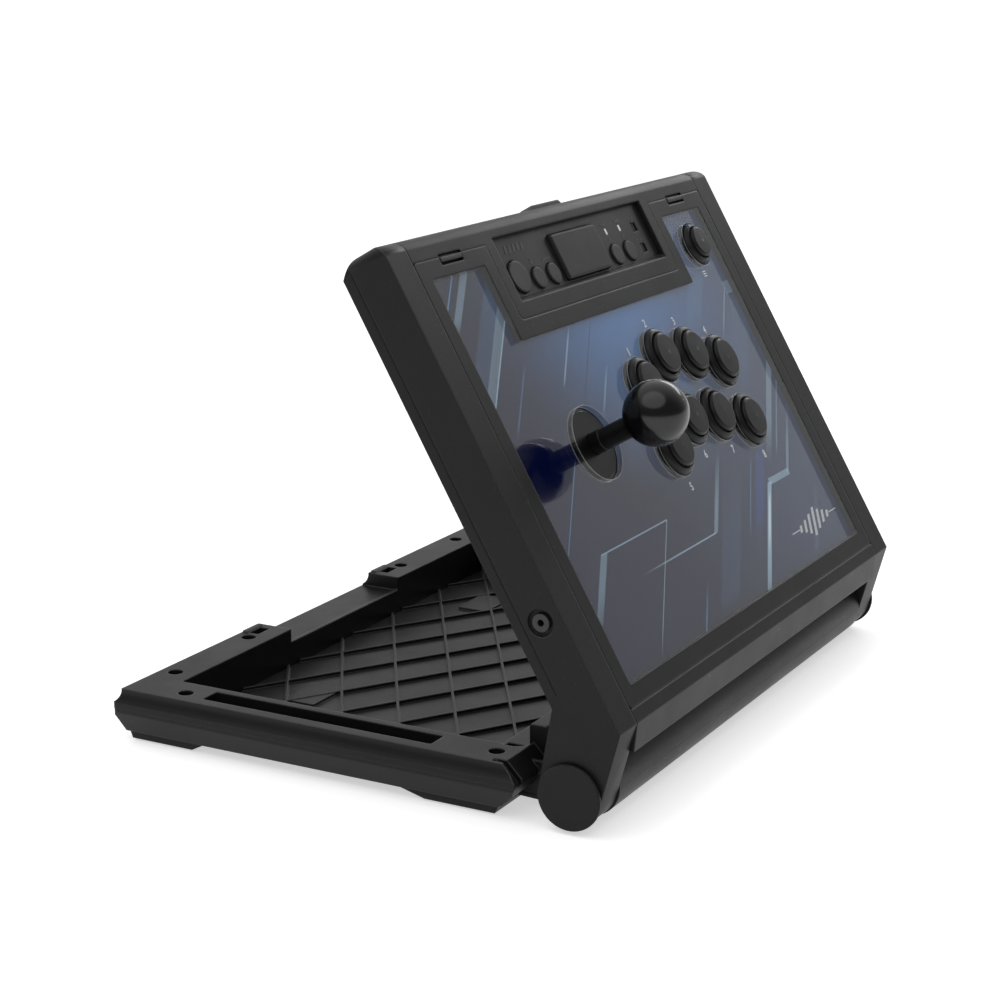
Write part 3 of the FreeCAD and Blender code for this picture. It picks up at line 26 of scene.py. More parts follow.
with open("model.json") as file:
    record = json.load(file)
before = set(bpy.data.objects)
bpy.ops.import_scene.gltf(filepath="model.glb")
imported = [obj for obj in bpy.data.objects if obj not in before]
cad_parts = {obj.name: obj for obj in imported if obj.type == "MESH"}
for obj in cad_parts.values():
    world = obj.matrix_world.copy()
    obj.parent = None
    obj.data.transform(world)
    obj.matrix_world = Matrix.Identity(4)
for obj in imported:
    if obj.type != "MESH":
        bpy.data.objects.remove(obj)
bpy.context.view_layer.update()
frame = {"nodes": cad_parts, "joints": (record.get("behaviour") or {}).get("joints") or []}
nodes = frame["nodes"]
joints = {joint["name"]: joint for joint in frame["joints"]}

MM = 0.001

# Hinge line in metres, and how far the lid stands open
HINGE_Y, HINGE_Z = joints["lid_hinge"]["pos_m"][1:]
OPEN_ANGLE = -math.radians(joints["lid_hinge"]["range_deg"][0])
OPEN_COS = math.cos(OPEN_ANGLE)
OPEN_SIN = math.sin(OPEN_ANGLE)
PANEL = Matrix(((1, 0, 0, 0), (0, OPEN_COS, -OPEN_SIN, HINGE_Y),
                (0, OPEN_SIN, OPEN_COS, HINGE_Z), (0, 0, 0, 1)))

TO_PANEL = (PANEL @ Matrix.Scale(MM, 4)).inverted()


def panel_box(name):
    """Lowest and highest corner of a node, in panel millimetres."""
    piece = nodes[name]
    points = [TO_PANEL @ piece.matrix_world @ vertex.co for vertex in piece.data.vertices]
    return [[pick(point[axis] for point in points) for axis in range(3)] for pick in (min, max)]


def low_and_top(name):
    """Heights of a node's lower and upper face out of the panel, to 0.01 mm."""
    return [round(corner[2], 2) for corner in panel_box(name)]


def middle(name):
    """Middle of a node across and up the panel, to 0.01 mm."""
    low, high = panel_box(name)
    return tuple(round((low[axis] + high[axis]) / 2, 2) for axis in range(2))


ART_TOP = low_and_top("artwork_sheet")[1]
WINDOW_LOW, WINDOW_TOP = low_and_top("acrylic_window")
STRIP_TOP = low_and_top("function_plate")[1]

# Middles of the controls on the panel
BUTTONS = [middle("plunger_%d" % n) for n in range(1, 9)]
OPTION = middle("plunger_option")
STICK = middle("dust_washer")
SMALL_X = [middle("small_button_%d" % n)[0] for n in (1, 2)]
LED_WIDTH = 1.9
LED_X = [round(corner[0] + inward, 2)
         for corner, inward in zip(panel_box("led_pipes"), (LED_WIDTH / 2, -LED_WIDTH / 2))]
KNOB_TRAVEL = joints["slide_knob_1_travel"]["range_m"][1] / MM
SWITCH_X = round(middle("slide_knob_1")[0] + KNOB_TRAVEL / 2, 2)

# Radii of the holes in the clear window
BUTTON_HOLE = 16.75
OPTION_HOLE = 14.2
STICK_HOLE = 21.1


# ---------------------------------------------------------------- shader helpers

# How far from an edge the shading is rounded, in metres
SOFT_RADIUS = 0.0014


class Paint:
    """A node material being put together around one Principled shader."""

    def __init__(self, name):
        self.material = bpy.data.materials.new(name)
        self.material.use_nodes = True
        self.tree = self.material.node_tree
        self.shader = self.tree.nodes["Principled BSDF"]
        self.place = self.add("ShaderNodeTexCoord").outputs["Object"]

    def add(self, kind, **settings):
        node = self.tree.nodes.new(kind)
        for key, value in settings.items():
            setattr(node, key, value)
        return node

    def feed(self, socket, value):
        if isinstance(value, bpy.types.NodeSocket):
            self.tree.links.new(value, socket)
        else:
            socket.default_value = value

    def math(self, operation, a, b=0.0, c=0.0):
        node = self.add("ShaderNodeMath", operation=operation)
        for socket, value in zip(node.inputs, (a, b, c)):
            self.feed(socket, value)
        return node.outputs[0]

    def noise(self, scale, detail=3.0, roughness=0.5, stretch=None):
        """Cloudy noise with about scale patches to the metre, finer along stretched axes."""
        node = self.add("ShaderNodeTexNoise")
        place = self.place
        if stretch:
            mapping = self.add("ShaderNodeMapping")
            mapping.inputs["Scale"].default_value = stretch
            self.feed(mapping.inputs["Vector"], self.place)
            place = mapping.outputs[0]
        self.feed(node.inputs["Vector"], place)
        node.inputs["Scale"].default_value = scale
        node.inputs["Detail"].default_value = detail
        node.inputs["Roughness"].default_value = roughness
        return node.outputs["Fac"]

    def spread(self, value, given, wanted=(0.0, 1.0)):
        """value mapped from the given range to the wanted one, clamped, with soft ends."""
        node = self.add("ShaderNodeMapRange", interpolation_type="SMOOTHSTEP")
        for socket, item in zip(node.inputs, (value, *given, *wanted)):
            self.feed(socket, item)
        return node.outputs[0]

    def product(self, a, b):
        return self.math("MULTIPLY", a, b)

    def facing_up(self, normal, given):
        """0 to 1 as the normal turns upward through the given range."""
        parts = self.add("ShaderNodeSeparateXYZ")
        self.feed(parts.inputs[0], normal)
        return self.spread(parts.outputs[2], given)

    def flat_normal(self):
        return self.add("ShaderNodeNewGeometry").outputs["Normal"]

    def mix(self, share, a, b):
        node = self.add("ShaderNodeMix", data_type="RGBA")
        self.feed(node.inputs[0], share)
        self.feed(node.inputs[6], a)
        self.feed(node.inputs[7], b)
        return node.outputs[2]

    def bump(self, height, distance, strength, normal=None):
        node = self.add("ShaderNodeBump")
        node.inputs["Strength"].default_value = strength
        node.inputs["Distance"].default_value = distance
        self.feed(node.inputs["Height"], height)
        if normal is not None:
            self.feed(node.inputs["Normal"], normal)
        return node.outputs[0]

    def soft_edges(self):
        """Normal that looks rounded at every edge, so that edges catch light."""
        node = self.add("ShaderNodeBevel", samples=6)
        node.inputs["Radius"].default_value = SOFT_RADIUS
        return node.outputs[0]

    def edge_wear(self, rounded):
        """0 to 1: edges that look up, where a lighter colour is painted in as the highlight they
        catch.
        """
        turn = self.add("ShaderNodeVectorMath", operation="DOT_PRODUCT")
        self.feed(turn.inputs[0], self.flat_normal())
        self.feed(turn.inputs[1], rounded)
        edge = self.spread(turn.outputs["Value"], (0.86, 0.995), (1.0, 0.0))
        return self.product(edge, self.facing_up(rounded, (0.0, 0.7)))

    def set(self, name, value):
        self.feed(self.shader.inputs[name], value)


def grey(value, blue=0.0):
    return (value, value, value + blue, 1.0)


def upward_dust(paint):
    """0 to 1: a thin uneven film on faces that look up."""
    facing = paint.facing_up(paint.flat_normal(), (0.45, 1.0))
    patches = paint.spread(paint.noise(38.0, 5.0, 0.6), (0.35, 0.75), (0.25, 1.0))
    return paint.product(facing, patches)


def fine_scratches(paint, scale, stretch):
    """0 to 1: sparse thin lines, as handling leaves on moulded plastic."""
    lines = paint.noise(scale, 2.0, 0.5, stretch)
    return paint.spread(lines, (0.68, 0.74))


# Share and tone of each mark of use on textured plastic, and of the painted edge highlight
DUST = (0.06, grey(0.14))
RUBS = (0.12, grey(0.09))
# Painted highlight along upward edges: share and tone
EDGE_HIGHLIGHT_PAINT = (0.8, grey(0.11))
PIT_DEPTH = 0.00005


def textured_plastic(name, tone, rough, grain=1.0, specular=0.3):
    """Spark-eroded black moulding: fine pitted grain, uneven sheen, faint dust and rubs."""
    paint = Paint(name)
    cloud = paint.spread(paint.noise(9.0, 4.0, 0.55), (0.3, 0.7))
    speck = paint.spread(paint.noise(2600.0, 2.0, 0.6), (0.3, 0.75), (0.0, 0.35))
    rubs = fine_scratches(paint, 150.0, (1.0, 7.0, 2.0))
    rounded = paint.soft_edges()
    base = paint.mix(cloud, grey(tone * 0.92), grey(tone * 1.08, tone * 0.03))
    base = paint.mix(speck, base, grey(tone * 2.1))
    # Dust, rubs and the painted highlight on upward edges are mixed into the base colour
    for mask, (share, colour) in ((upward_dust(paint), DUST), (rubs, RUBS),
                                  (paint.edge_wear(rounded), EDGE_HIGHLIGHT_PAINT)):
        base = paint.mix(paint.product(mask, share), base, colour)
    paint.set("Base Color", base)
    sheen = paint.spread(paint.noise(26.0, 4.0, 0.6), (0.25, 0.75), (rough - 0.03, rough + 0.04))
    paint.set("Roughness", paint.math("ADD", sheen, paint.product(rubs, -0.06)))
    paint.set("Specular IOR Level", specular)
    pits = paint.noise(1500.0, 3.0, 0.65)
    paint.set("Normal", paint.bump(pits, PIT_DEPTH * grain, 0.6, rounded))
    return paint.material


def smooth_plastic(name, tone, rough, specular, wave=0.00002):
    """Polished or satin moulding with a faint ripple, fingerprints and hairline marks."""
    paint = Paint(name)
    cloud = paint.noise(30.0, 3.0)
    paint.set("Base Color", paint.mix(cloud, grey(tone * 0.85), grey(tone * 1.25, tone * 0.06)))
    smear = paint.spread(paint.noise(75.0, 5.0, 0.65), (0.4, 0.7))
    hair = fine_scratches(paint, 320.0, (1.0, 9.0, 1.0))
    roughness = paint.spread(smear, (0.0, 1.0), (rough, rough + 0.07))
    paint.set("Roughness", paint.math("ADD", roughness, paint.product(hair, 0.08)))
    paint.set("Specular IOR Level", specular)
    paint.set("Normal", paint.bump(paint.noise(130.0, 2.0), wave, 0.35))
    return paint.material


def metal(name, tone, rough, stretch=None, spots=0.0):
    """Drawn or turned steel: fine lines along the work, duller patches, some dark spots."""
    paint = Paint(name)
    lines = paint.noise(900.0, 3.0, 0.6, stretch)
    dull = paint.noise(60.0, 4.0, 0.6)
    base = paint.mix(lines, grey(tone * 0.8), grey(tone * 1.12, -0.01))
    stained = paint.product(paint.spread(dull, (0.55, 0.75)), spots)
    base = paint.mix(stained, base, (tone * 0.35, tone * 0.3, tone * 0.25, 1.0))
    paint.set("Base Color", base)
    paint.set("Metallic", 1.0)
    paint.set("Roughness", paint.spread(dull, (0.3, 0.7), (rough, rough + 0.14)))
    paint.set("Normal", paint.bump(lines, 0.00002, 0.4))
    return paint.material


def rubber(name, tone):
    """Matt black rubber with lint and a fine grain."""
    paint = Paint(name)
    mottled = paint.noise(210.0, 4.0, 0.6)
    dust = paint.spread(paint.noise(45.0, 5.0), (0.5, 0.8), (0.0, 0.25))
    base = paint.mix(mottled, grey(tone * 0.8), grey(tone * 1.3))
    paint.set("Base Color", paint.mix(dust, base, grey(0.12)))
    paint.set("Roughness", paint.spread(mottled, (0.3, 0.7), (0.62, 0.82)))
    paint.set("Specular IOR Level", 0.3)
    paint.set("Normal", paint.bump(paint.noise(1700.0, 2.0), 0.00004, 0.7))
    return paint.material


# Clear acrylic: share mirrored face on, what more is mirrored at a glancing angle and
# under finger marks, sharpness of the mirrored picture, tint of what shows through
MIRROR_SHARE = 0.050
GLANCING_SHARE = 0.96
SMEAR_SHARE = 0.003
MIRROR_ROUGHNESS = 0.01
ACRYLIC_TINT = (0.97, 0.985, 0.99, 1.0)


def clear_sheet(name):
    """Clear acrylic: what is behind shows through, and both faces mirror a little."""
    paint = Paint(name)
    paint.tree.nodes.remove(paint.shader)
    facing = paint.add("ShaderNodeLayerWeight").outputs["Facing"]
    steep = paint.math("POWER", facing, 5.0)
    smear = paint.spread(paint.noise(24.0, 6.0, 0.62), (0.45, 0.75))
    share = paint.math("MULTIPLY_ADD", steep, GLANCING_SHARE, MIRROR_SHARE)
    share = paint.math("MULTIPLY_ADD", smear, SMEAR_SHARE, share)
    through = paint.add("ShaderNodeBsdfTransparent")
    through.inputs["Color"].default_value = ACRYLIC_TINT
    mirror = paint.add("ShaderNodeBsdfGlossy")
    mirror.inputs["Color"].default_value = grey(1.0)
    mirror.inputs["Roughness"].default_value = MIRROR_ROUGHNESS
    both = paint.add("ShaderNodeMixShader")
    paint.feed(both.inputs[0], share)
    paint.feed(both.inputs[1], through.outputs[0])
    paint.feed(both.inputs[2], mirror.outputs[0])
    output = [n for n in paint.tree.nodes if n.type == "OUTPUT_MATERIAL"][0]
    paint.feed(output.inputs["Surface"], both.outputs[0])
    return paint.material


# Ground of the printed sheet: mottled dark blue, a lighter tint towards the right that is painted
# reflection, and a glow whose distance from its middle is taken from the scaled and shifted panel
# coordinates
GROUND = ((0.0014, 0.0028, 0.030, 1.0), (0.003, 0.006, 0.044, 1.0))
RIGHT_REFLECTION_TINT = (0.038, 0.080, 0.19, 1.0)
RIGHT_REFLECTION_RANGE = (-60.0, 170.0)
GLOW_TINT = (0.066, 0.21, 0.50, 1.0)
GLOW_ACROSS = (0.0078, -0.20)
GLOW_UP = (0.0105, -2.36)
GLOW_REACH = 1.35

# Streaks on the printed sheet, in millimetres on the panel.  They all lean by LEAN
# (across per up).  Each is: where it crosses the hinge line, half width, lowest and highest
# point, length of the fade at each end, strength, colour.  Its sides are soft over
# SOFT_SHARE of the half width, but never over less than LEAST_SOFT.
LEAN = 1.15
LEAST_SOFT = 0.25
SOFT_SHARE = 0.22
PALE = (0.52, 0.74, 0.90, 1.0)
SKY = (0.18, 0.44, 0.80, 1.0)
DEEP = (0.02, 0.07, 0.42, 1.0)
WHITE = (0.80, 0.90, 0.95, 1.0)
DARK = (0.002, 0.004, 0.012, 1.0)
STREAKS = [
    (-435.0, 0.8, 236, 262, 8, 3, 0.50, SKY), (-423.0, 3.8, 226, 262, 12, 4, 0.30, PALE),
    (-390.0, 9.0, 180, 262, 20, 20, 0.10, SKY), (-377.5, 5.0, 176, 244, 18, 10, 0.24, PALE),
    (-372.3, 0.8, 178, 240, 14, 8, 0.55, PALE), (-345.0, 1.0, 168, 206, 10, 10, 0.22, SKY),
    (-277.5, 0.6, 98, 150, 16, 8, 0.42, SKY), (-297.0, 0.9, 184, 218, 8, 10, 0.45, PALE),
    (-246.5, 1.2, 162, 192, 10, 12, 0.22, PALE), (-271.0, 0.6, 158, 217, 14, 6, 0.55, DARK),
    (-236.0, 3.8, 56, 98.9, 30, 0.3, 0.32, PALE), (-159.5, 0.55, 34, 98.9, 22, 0.3, 0.42, PALE),
    (-92.0, 2.6, 79.3, 124, 0.3, 34, 0.36, PALE), (-102.5, 1.1, 30, 62, 6, 22, 0.40, SKY),
    (-70.0, 13.0, 36, 120, 12, 50, 0.07, SKY), (-205.0, 9.0, 120, 216, 60, 20, 0.08, SKY),
    (-13.8, 3.0, 30, 89.9, 4, 0.3, 0.62, PALE), (-13.8, 1.6, 50, 88, 18, 10, 0.85, WHITE),
    (14.5, 1.9, 89.5, 130, 0.3, 32, 0.34, PALE), (-42.5, 0.6, 64, 114, 18, 16, 0.40, SKY),
    (-14.5, 4.2, 98, 164, 26, 6, 0.30, PALE), (-2.5, 1.0, 98, 152, 14, 16, 0.26, PALE),
    (-28.5, 6.5, 62, 128, 20, 26, 0.34, DEEP), (-85.5, 0.7, 176, 209, 14, 6, 0.34, PALE),
    (-60.0, 14.0, 130, 220, 40, 30, 0.06, SKY), (-130.0, 11.0, 186, 222, 18, 6, 0.10, SKY),
    (60.0, 3.0, 36, 80, 8, 26, 0.06, PALE)]

# Level lines: height, half thickness, left end, right end, fade at each end, strength, colour
LEVELS = [(99.0, 0.40, -126, -45.4, 0.4, 0.4, 0.50, PALE),
          (79.5, 0.42, -104, -0.5, 60, 0.4, 0.55, PALE),
          (89.8, 2.0, 88.5, 120, 1.0, 0.5, 0.46, PALE),
          (207.0, 4.0, 150, 166, 6, 1.0, 0.26, PALE)]
LEVEL_SOFT = 0.2


def printed_art(name):
    """Deep blue print: a paler glow at the top, leaning light streaks and level lines."""
    paint = Paint(name)
    axis = paint.add("ShaderNodeSeparateXYZ")
    paint.feed(axis.inputs[0], paint.place)
    across = paint.product(axis.outputs[0], 1 / MM)
    behind = paint.math("ADD", axis.outputs[1], -HINGE_Y)
    above = paint.math("ADD", axis.outputs[2], -HINGE_Z)
    up = paint.math("MULTIPLY_ADD", above, OPEN_SIN / MM, paint.product(behind, OPEN_COS / MM))
    lean = paint.math("MULTIPLY_ADD", up, -LEAN, across)

    def band(value, low, high, fade_low, fade_high):
        rise = paint.spread(value, (low, low + fade_low))
        fall = paint.spread(value, (high - fade_high, high), (1.0, 0.0))
        return paint.product(rise, fall)

    def line(value, middle, half, soft):
        return band(value, middle - half - soft, middle + half + soft, 2 * soft, 2 * soft)

    dx = paint.math("MULTIPLY_ADD", across, *GLOW_ACROSS)
    dy = paint.math("MULTIPLY_ADD", up, *GLOW_UP)
    far = paint.math("SQRT", paint.math("ADD", paint.product(dx, dx), paint.product(dy, dy)))
    glow = paint.spread(far, (0.0, GLOW_REACH), (1.0, 0.0))
    colour = paint.mix(paint.noise(16.0, 3.0, 0.5), *GROUND)
    colour = paint.mix(glow, colour, GLOW_TINT)
    # Painted reflection: the sheet turns lighter towards the right, standing in for the window's
    # stronger mirroring there
    colour = paint.mix(paint.spread(across, RIGHT_REFLECTION_RANGE, (0.0, 0.5)), colour, RIGHT_REFLECTION_TINT)
    for crossing, half, low, high, fade_low, fade_high, strength, tint in STREAKS:
        mask = paint.product(line(lean, crossing, half, max(LEAST_SOFT, half * SOFT_SHARE)),
                             band(up, low, high, fade_low, fade_high))
        colour = paint.mix(paint.product(mask, strength), colour, tint)
    for level, half, left, right, fade_left, fade_right, strength, tint in LEVELS:
        mask = paint.product(line(up, level, half, LEVEL_SOFT),
                             band(across, left, right, fade_left, fade_right))
        colour = paint.mix(paint.product(mask, strength), colour, tint)
    paint.set("Base Color", colour)
    dots = paint.noise(3000.0, 2.0)
    paint.set("Roughness", paint.spread(dots, (0.3, 0.7), (0.5, 0.62)))
    paint.set("Specular IOR Level", 0.0)
    return paint.material


MASK_GREEN = (0.012, 0.075, 0.030, 1.0)
MASK_GREEN_DULL = (0.010, 0.060, 0.026, 1.0)
TRACK_GREEN = (0.035, 0.16, 0.06, 1.0)


def circuit_board(name):
    """Green solder mask over faint copper tracks."""
    paint = Paint(name)
    tracks = paint.add("ShaderNodeTexBrick")
    mapping = paint.add("ShaderNodeMapping")
    mapping.inputs["Rotation"].default_value = (-OPEN_ANGLE, 0, 0)
    paint.feed(mapping.inputs["Vector"], paint.place)
    paint.feed(tracks.inputs["Vector"], mapping.outputs[0])
    tracks.inputs["Scale"].default_value = 190.0
    tracks.inputs["Mortar Size"].default_value = 0.06
    tracks.inputs["Color1"].default_value = MASK_GREEN
    tracks.inputs["Color2"].default_value = MASK_GREEN_DULL
    tracks.inputs["Mortar"].default_value = TRACK_GREEN
    paint.set("Base Color", tracks.outputs["Color"])
    paint.set("Roughness", paint.spread(paint.noise(90.0), (0.3, 0.7), (0.25, 0.4)))
    paint.set("Normal", paint.bump(tracks.outputs["Fac"], 0.00003, 0.6))
    return paint.material


def frosted_light(name):
    """Milky light pipe, faintly lit."""
    paint = Paint(name)
    paint.set("Base Color", paint.mix(paint.noise(900.0), grey(0.45), grey(0.6)))
    paint.set("Roughness", paint.spread(paint.noise(400.0), (0.3, 0.7), (0.3, 0.5)))
    paint.set("Emission Color", grey(1.0))
    paint.set("Emission Strength", 0.12)
    return paint.material


def plain_coat(name, tone, rough=0.45):
    """Ink, or the painted highlight of a polished edge: one tone with a slight mottle."""
    paint = Paint(name)
    paint.set("Base Color", paint.mix(paint.noise(1200.0), grey(tone * 0.9), grey(tone)))
    roughness = paint.spread(paint.noise(500.0), (0.3, 0.7), (rough, rough + 0.1))
    paint.set("Roughness", roughness)
    paint.set("Normal", paint.bump(paint.noise(1500.0), 0.00001, 0.4))
    return paint.material


# ---------------------------------------------------------------- materials of the CAD nodes

shell = textured_plastic("shell_plastic", 0.0095, 0.42, specular=0.16)
tray = textured_plastic("tray_plastic", 0.0090, 0.40, specular=0.17)
strip_plastic = textured_plastic("function_plastic", 0.0105, 0.42, specular=0.17)
inner_plastic = smooth_plastic("inner_plastic", 0.022, 0.38, 0.4)
button_plastic = smooth_plastic("button_plastic", 0.006, 0.36, 0.22)
cap_plastic = textured_plastic("cap_plastic", 0.010, 0.40, 0.5, 0.2)
ball_plastic = smooth_plastic("ball_plastic", 0.002, 0.17, 0.5, 0.00001)
washer_plastic = smooth_plastic("washer_plastic", 0.003, 0.28, 0.2)
steel_dark = metal("steel_dark", 0.09, 0.32)
steel_plated = metal("steel_plated", 0.55, 0.22, (1.0, 1.0, 0.15), 0.3)
steel_bracket = metal("steel_bracket", 0.42, 0.30, (0.1, 1.0, 1.0), 0.4)
plate_paint = textured_plastic("plate_paint", 0.02, 0.42, 2.0, 0.4)
foot_rubber = rubber("foot_rubber", 0.02)
cable_rubber = rubber("cable_rubber", 0.016)
window = clear_sheet("clear_acrylic")
art = printed_art("printed_art")
board = circuit_board("circuit_board")
light = frosted_light("frosted_light")
ink = plain_coat("white_ink", 0.85)
silver_ink = plain_coat("silver_ink", 0.62, 0.3)
mark_ink = plain_coat("mark_ink", 0.003)
rim_light = plain_coat("hole_rim", 0.34, 0.1)

LOOKS = {
    shell: ["lid_middle", "lid_side_left", "lid_side_right", "hinge_caps", "panel_frame"],
    tray: ["tray_upper", "tray_lower"],
    strip_plastic: ["function_plate", "touchpad", "release_button"],
    cap_plastic: ["home_button", "small_button_1", "small_button_2", "small_button_3",
                  "small_button_4", "slide_knob_1", "slide_knob_2", "panel_clip_left",
                  "panel_clip_right"],
    inner_plastic: ["button_nuts", "button_switches", "stick_housing", "stick_gate",
                    "stick_switches", "stick_cradle", "stick_pivot", "stick_actuator",
                    "latch_hook_left", "latch_hook_right", "headset_jack"],
    button_plastic: ["button_bodies", "plunger_option"] + ["plunger_%d" % n for n in range(1, 9)],
    ball_plastic: ["stick_ball"],
    washer_plastic: ["dust_washer", "lower_washer", "stick_shaft_cover"],
    steel_dark: ["tray_screws", "lid_screws"],
    steel_plated: ["hinge_pins", "stick_shaft", "stick_spring", "usb_socket"],
    steel_bracket: ["latch_strikes", "stick_bracket"],
    plate_paint: ["mounting_plate"],
    foot_rubber: ["rubber_feet"],
    cable_rubber: ["wiring"],
    window: ["acrylic_window"],
    art: ["artwork_sheet"],
    board: ["main_board"],
    light: ["led_pipes"],
}


def give_material(piece, material):
    piece.data.materials.clear()
    piece.data.materials.append(material)


for material, names in LOOKS.items():
    for name in names:
        give_material(nodes[name], material)
unpainted = set(nodes) - {name for names in LOOKS.values() for name in names}
assert not unpainted, unpainted


# Pieces with real rounding, its radius in metres, and the angles from which an edge counts
# as sharp and up to which neighbouring faces count as one
ROUNDED = ["lid_side_left", "lid_side_right", "touchpad", "release_button"]
EDGE_RADIUS = 0.0006
SHARP_EDGE = math.radians(40)
FLAT_ENOUGH = math.radians(0.4)
SAME_POINT = 0.00001


def weld_seams(piece):
    """Join the points that neighbouring faces share."""
    weld = piece.modifiers.new("weld", "WELD")
    weld.merge_threshold = SAME_POINT


def round_edges(piece):
    """Small real rounding on every sharp edge, as a mould leaves it."""
    weld_seams(piece)
    flatten = piece.modifiers.new("flatten", "DECIMATE")
    flatten.decimate_type = "DISSOLVE"
    flatten.angle_limit = FLAT_ENOUGH
    bevel = piece.modifiers.new("bevel", "BEVEL")
    bevel.width = EDGE_RADIUS
    bevel.segments = 2
    bevel.limit_method = "ANGLE"
    bevel.angle_limit = SHARP_EDGE
    bevel.use_clamp_overlap = True
    bevel.harden_normals = True


for name in ROUNDED:
    round_edges(nodes[name])
for name in LOOKS[button_plastic] + LOOKS[ball_plastic]:
    weld_seams(nodes[name])


# ---------------------------------------------------------------- added pieces on the lid

def lid_piece(name, mesh, material):
    """Object from a mesh drawn in panel millimetres, laid on the lid and riding it."""
    mesh.transform(PANEL @ Matrix.Scale(MM, 4))
    piece = bpy.data.objects.new(name, mesh)
    bpy.context.collection.objects.link(piece)
    give_material(piece, material)
    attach(piece, "lid")


def mesh_from(build, name):
    """Mesh filled by build(bm)."""
    bm = bmesh.new()
    build(bm)
    bmesh.ops.recalc_face_normals(bm, faces=bm.faces)
    mesh = bpy.data.meshes.new(name)
    bm.to_mesh(mesh)
    bm.free()
    return mesh


def add_plate(bm, corners, low, high):
    """Closed flat plate with the given outline."""
    bottom = [bm.verts.new((x, y, low)) for x, y in corners]
    top = [bm.verts.new((x, y, high)) for x, y in corners]
    bm.faces.new(bottom[::-1])
    bm.faces.new(top)
    for k in range(len(corners)):
        after = (k + 1) % len(corners)
        bm.faces.new((bottom[k], bottom[after], top[after], top[k]))


def add_bar(bm, x, y, length, width, lean, low, high):
    """Bar centred at (x, y); lean pushes its upper edge to the right, its lower to the left."""
    a, b = length / 2, width / 2
    add_plate(bm, [(x - a - lean, y - b), (x + a - lean, y - b),
                   (x + a + lean, y + b), (x - a + lean, y + b)], low, high)


def add_hoop(bm, x, y, radius, height, thick, steps=96, around=8):
    """Thin round hoop lying flat at the given height."""
    rings = []
    for step in range(steps):
        turn = 2 * math.pi * step / steps
        ring = []
        for part in range(around):
            angle = 2 * math.pi * part / around
            out = radius + thick * math.cos(angle)
            ring.append(bm.verts.new((x + out * math.cos(turn), y + out * math.sin(turn),
                                      height + thick * math.sin(angle))))
        rings.append(ring)
    for step in range(steps):
        here, there = rings[step], rings[(step + 1) % steps]
        for part in range(around):
            after = (part + 1) % around
            bm.faces.new((here[part], there[part], there[after], here[after]))


# Where each printed number stands, beside its button
NUMBER_PLACES = [(0.5, 191.0), (33.5, 203.0), (68.5, 198.5), (101.0, 187.0),
                 (-2.5, 108.5), (30.5, 121.0), (65.0, 116.5), (100.0, 105.5)]

# Text size, widening of the strokes, half thickness and lift off the sheet, in millimetres
NUMBER_HEIGHT = 6.6
NUMBER_STROKE = 0.10
NUMBER_THICK = 0.008
NUMBER_LIFT = 0.03
SAME_CORNER = 0.0005


def button_numbers():
    """Plain numbers 1 to 8 printed beside the play buttons."""
    joined = bmesh.new()
    for number, (x, y) in enumerate(NUMBER_PLACES, 1):
        curve = bpy.data.curves.new("number", "FONT")
        curve.body = str(number)
        curve.size = NUMBER_HEIGHT
        curve.align_x = "CENTER"
        curve.align_y = "CENTER"
        curve.extrude = NUMBER_THICK
        curve.offset = NUMBER_STROKE
        curve.resolution_u = 6
        holder = bpy.data.objects.new("number", curve)
        mesh = bpy.data.meshes.new_from_object(holder)
        mesh.transform(Matrix.Translation((x, y, ART_TOP + NUMBER_LIFT)))
        joined.from_mesh(mesh)
        bpy.data.objects.remove(holder)
        bpy.data.meshes.remove(mesh)
    bmesh.ops.remove_doubles(joined, verts=joined.verts, dist=SAME_CORNER)
    mesh = bpy.data.meshes.new("button_numbers")
    joined.to_mesh(mesh)
    joined.free()
    lid_piece("button_numbers", mesh, ink)


# Bottom and top of the ink on the printed sheet, and of the raised marks on the strip, whose
# foot is sunk into the plate
INK = (ART_TOP + 0.02, ART_TOP + 0.04)
RAISED = (STRIP_TOP - 0.05, STRIP_TOP + 0.14)

# Bars of each mark: middle across and up, length, width, lean of the top edge
OPTION_BARS = [(OPTION[0], 217.6 + 1.5 * row, 4.4, 0.55, 0.0) for row in range(3)]

EMBLEM_UP = 56.0
EMBLEM_BARS = [(100.0 + 7.0 * step, EMBLEM_UP, 3.4, tall, tall * 0.32)
               for step, tall in enumerate((4.0, 7.0, 11.0, 16.0, 11.0, 7.0, 4.0))]
EMBLEM_BARS += [(x, EMBLEM_UP, 12.0, 0.7, 0.0) for x in (92.0, 150.5)]

STRIP_BARS = [(-76.6 + 4.6 * step, 265.0, 2.0, 4.2, 0.7) for step in range(5)]
STRIP_BARS += [(SMALL_X[0], 254.8, 3.2, 0.9, 0.0), (SMALL_X[0], 256.5, 1.6, 0.9, 0.0),
               (SMALL_X[1], 254.8, 9.0, 1.1, 0.0)]
for x in LED_X:
    STRIP_BARS += [(x, 264.6, 6.6, 1.1, 0.0), (x, 255.2, 3.0, 1.1, 0.0)]
for row, count in ((264.2, 2), (250.4, 3)):
    STRIP_BARS += [(SWITCH_X + 4.0 * (step - (count - 1) / 2), row, 2.6, 1.0, 0.0)
                   for step in range(count)]


def bar_mark(name, bars, heights, material):
    """Mark made of flat bars."""
    def build(bm):
        for bar in bars:
            add_bar(bm, *bar, *heights)
    lid_piece(name, mesh_from(build, name), material)


# Hoops of painted highlight in the window's holes: how far outside the hole's edge, and for the
# upper and the lower hoop its height and thickness
HOOP_OUT = 0.18
HOOPS = ((WINDOW_TOP - 0.16, 0.14), (WINDOW_LOW + 0.16, 0.12))


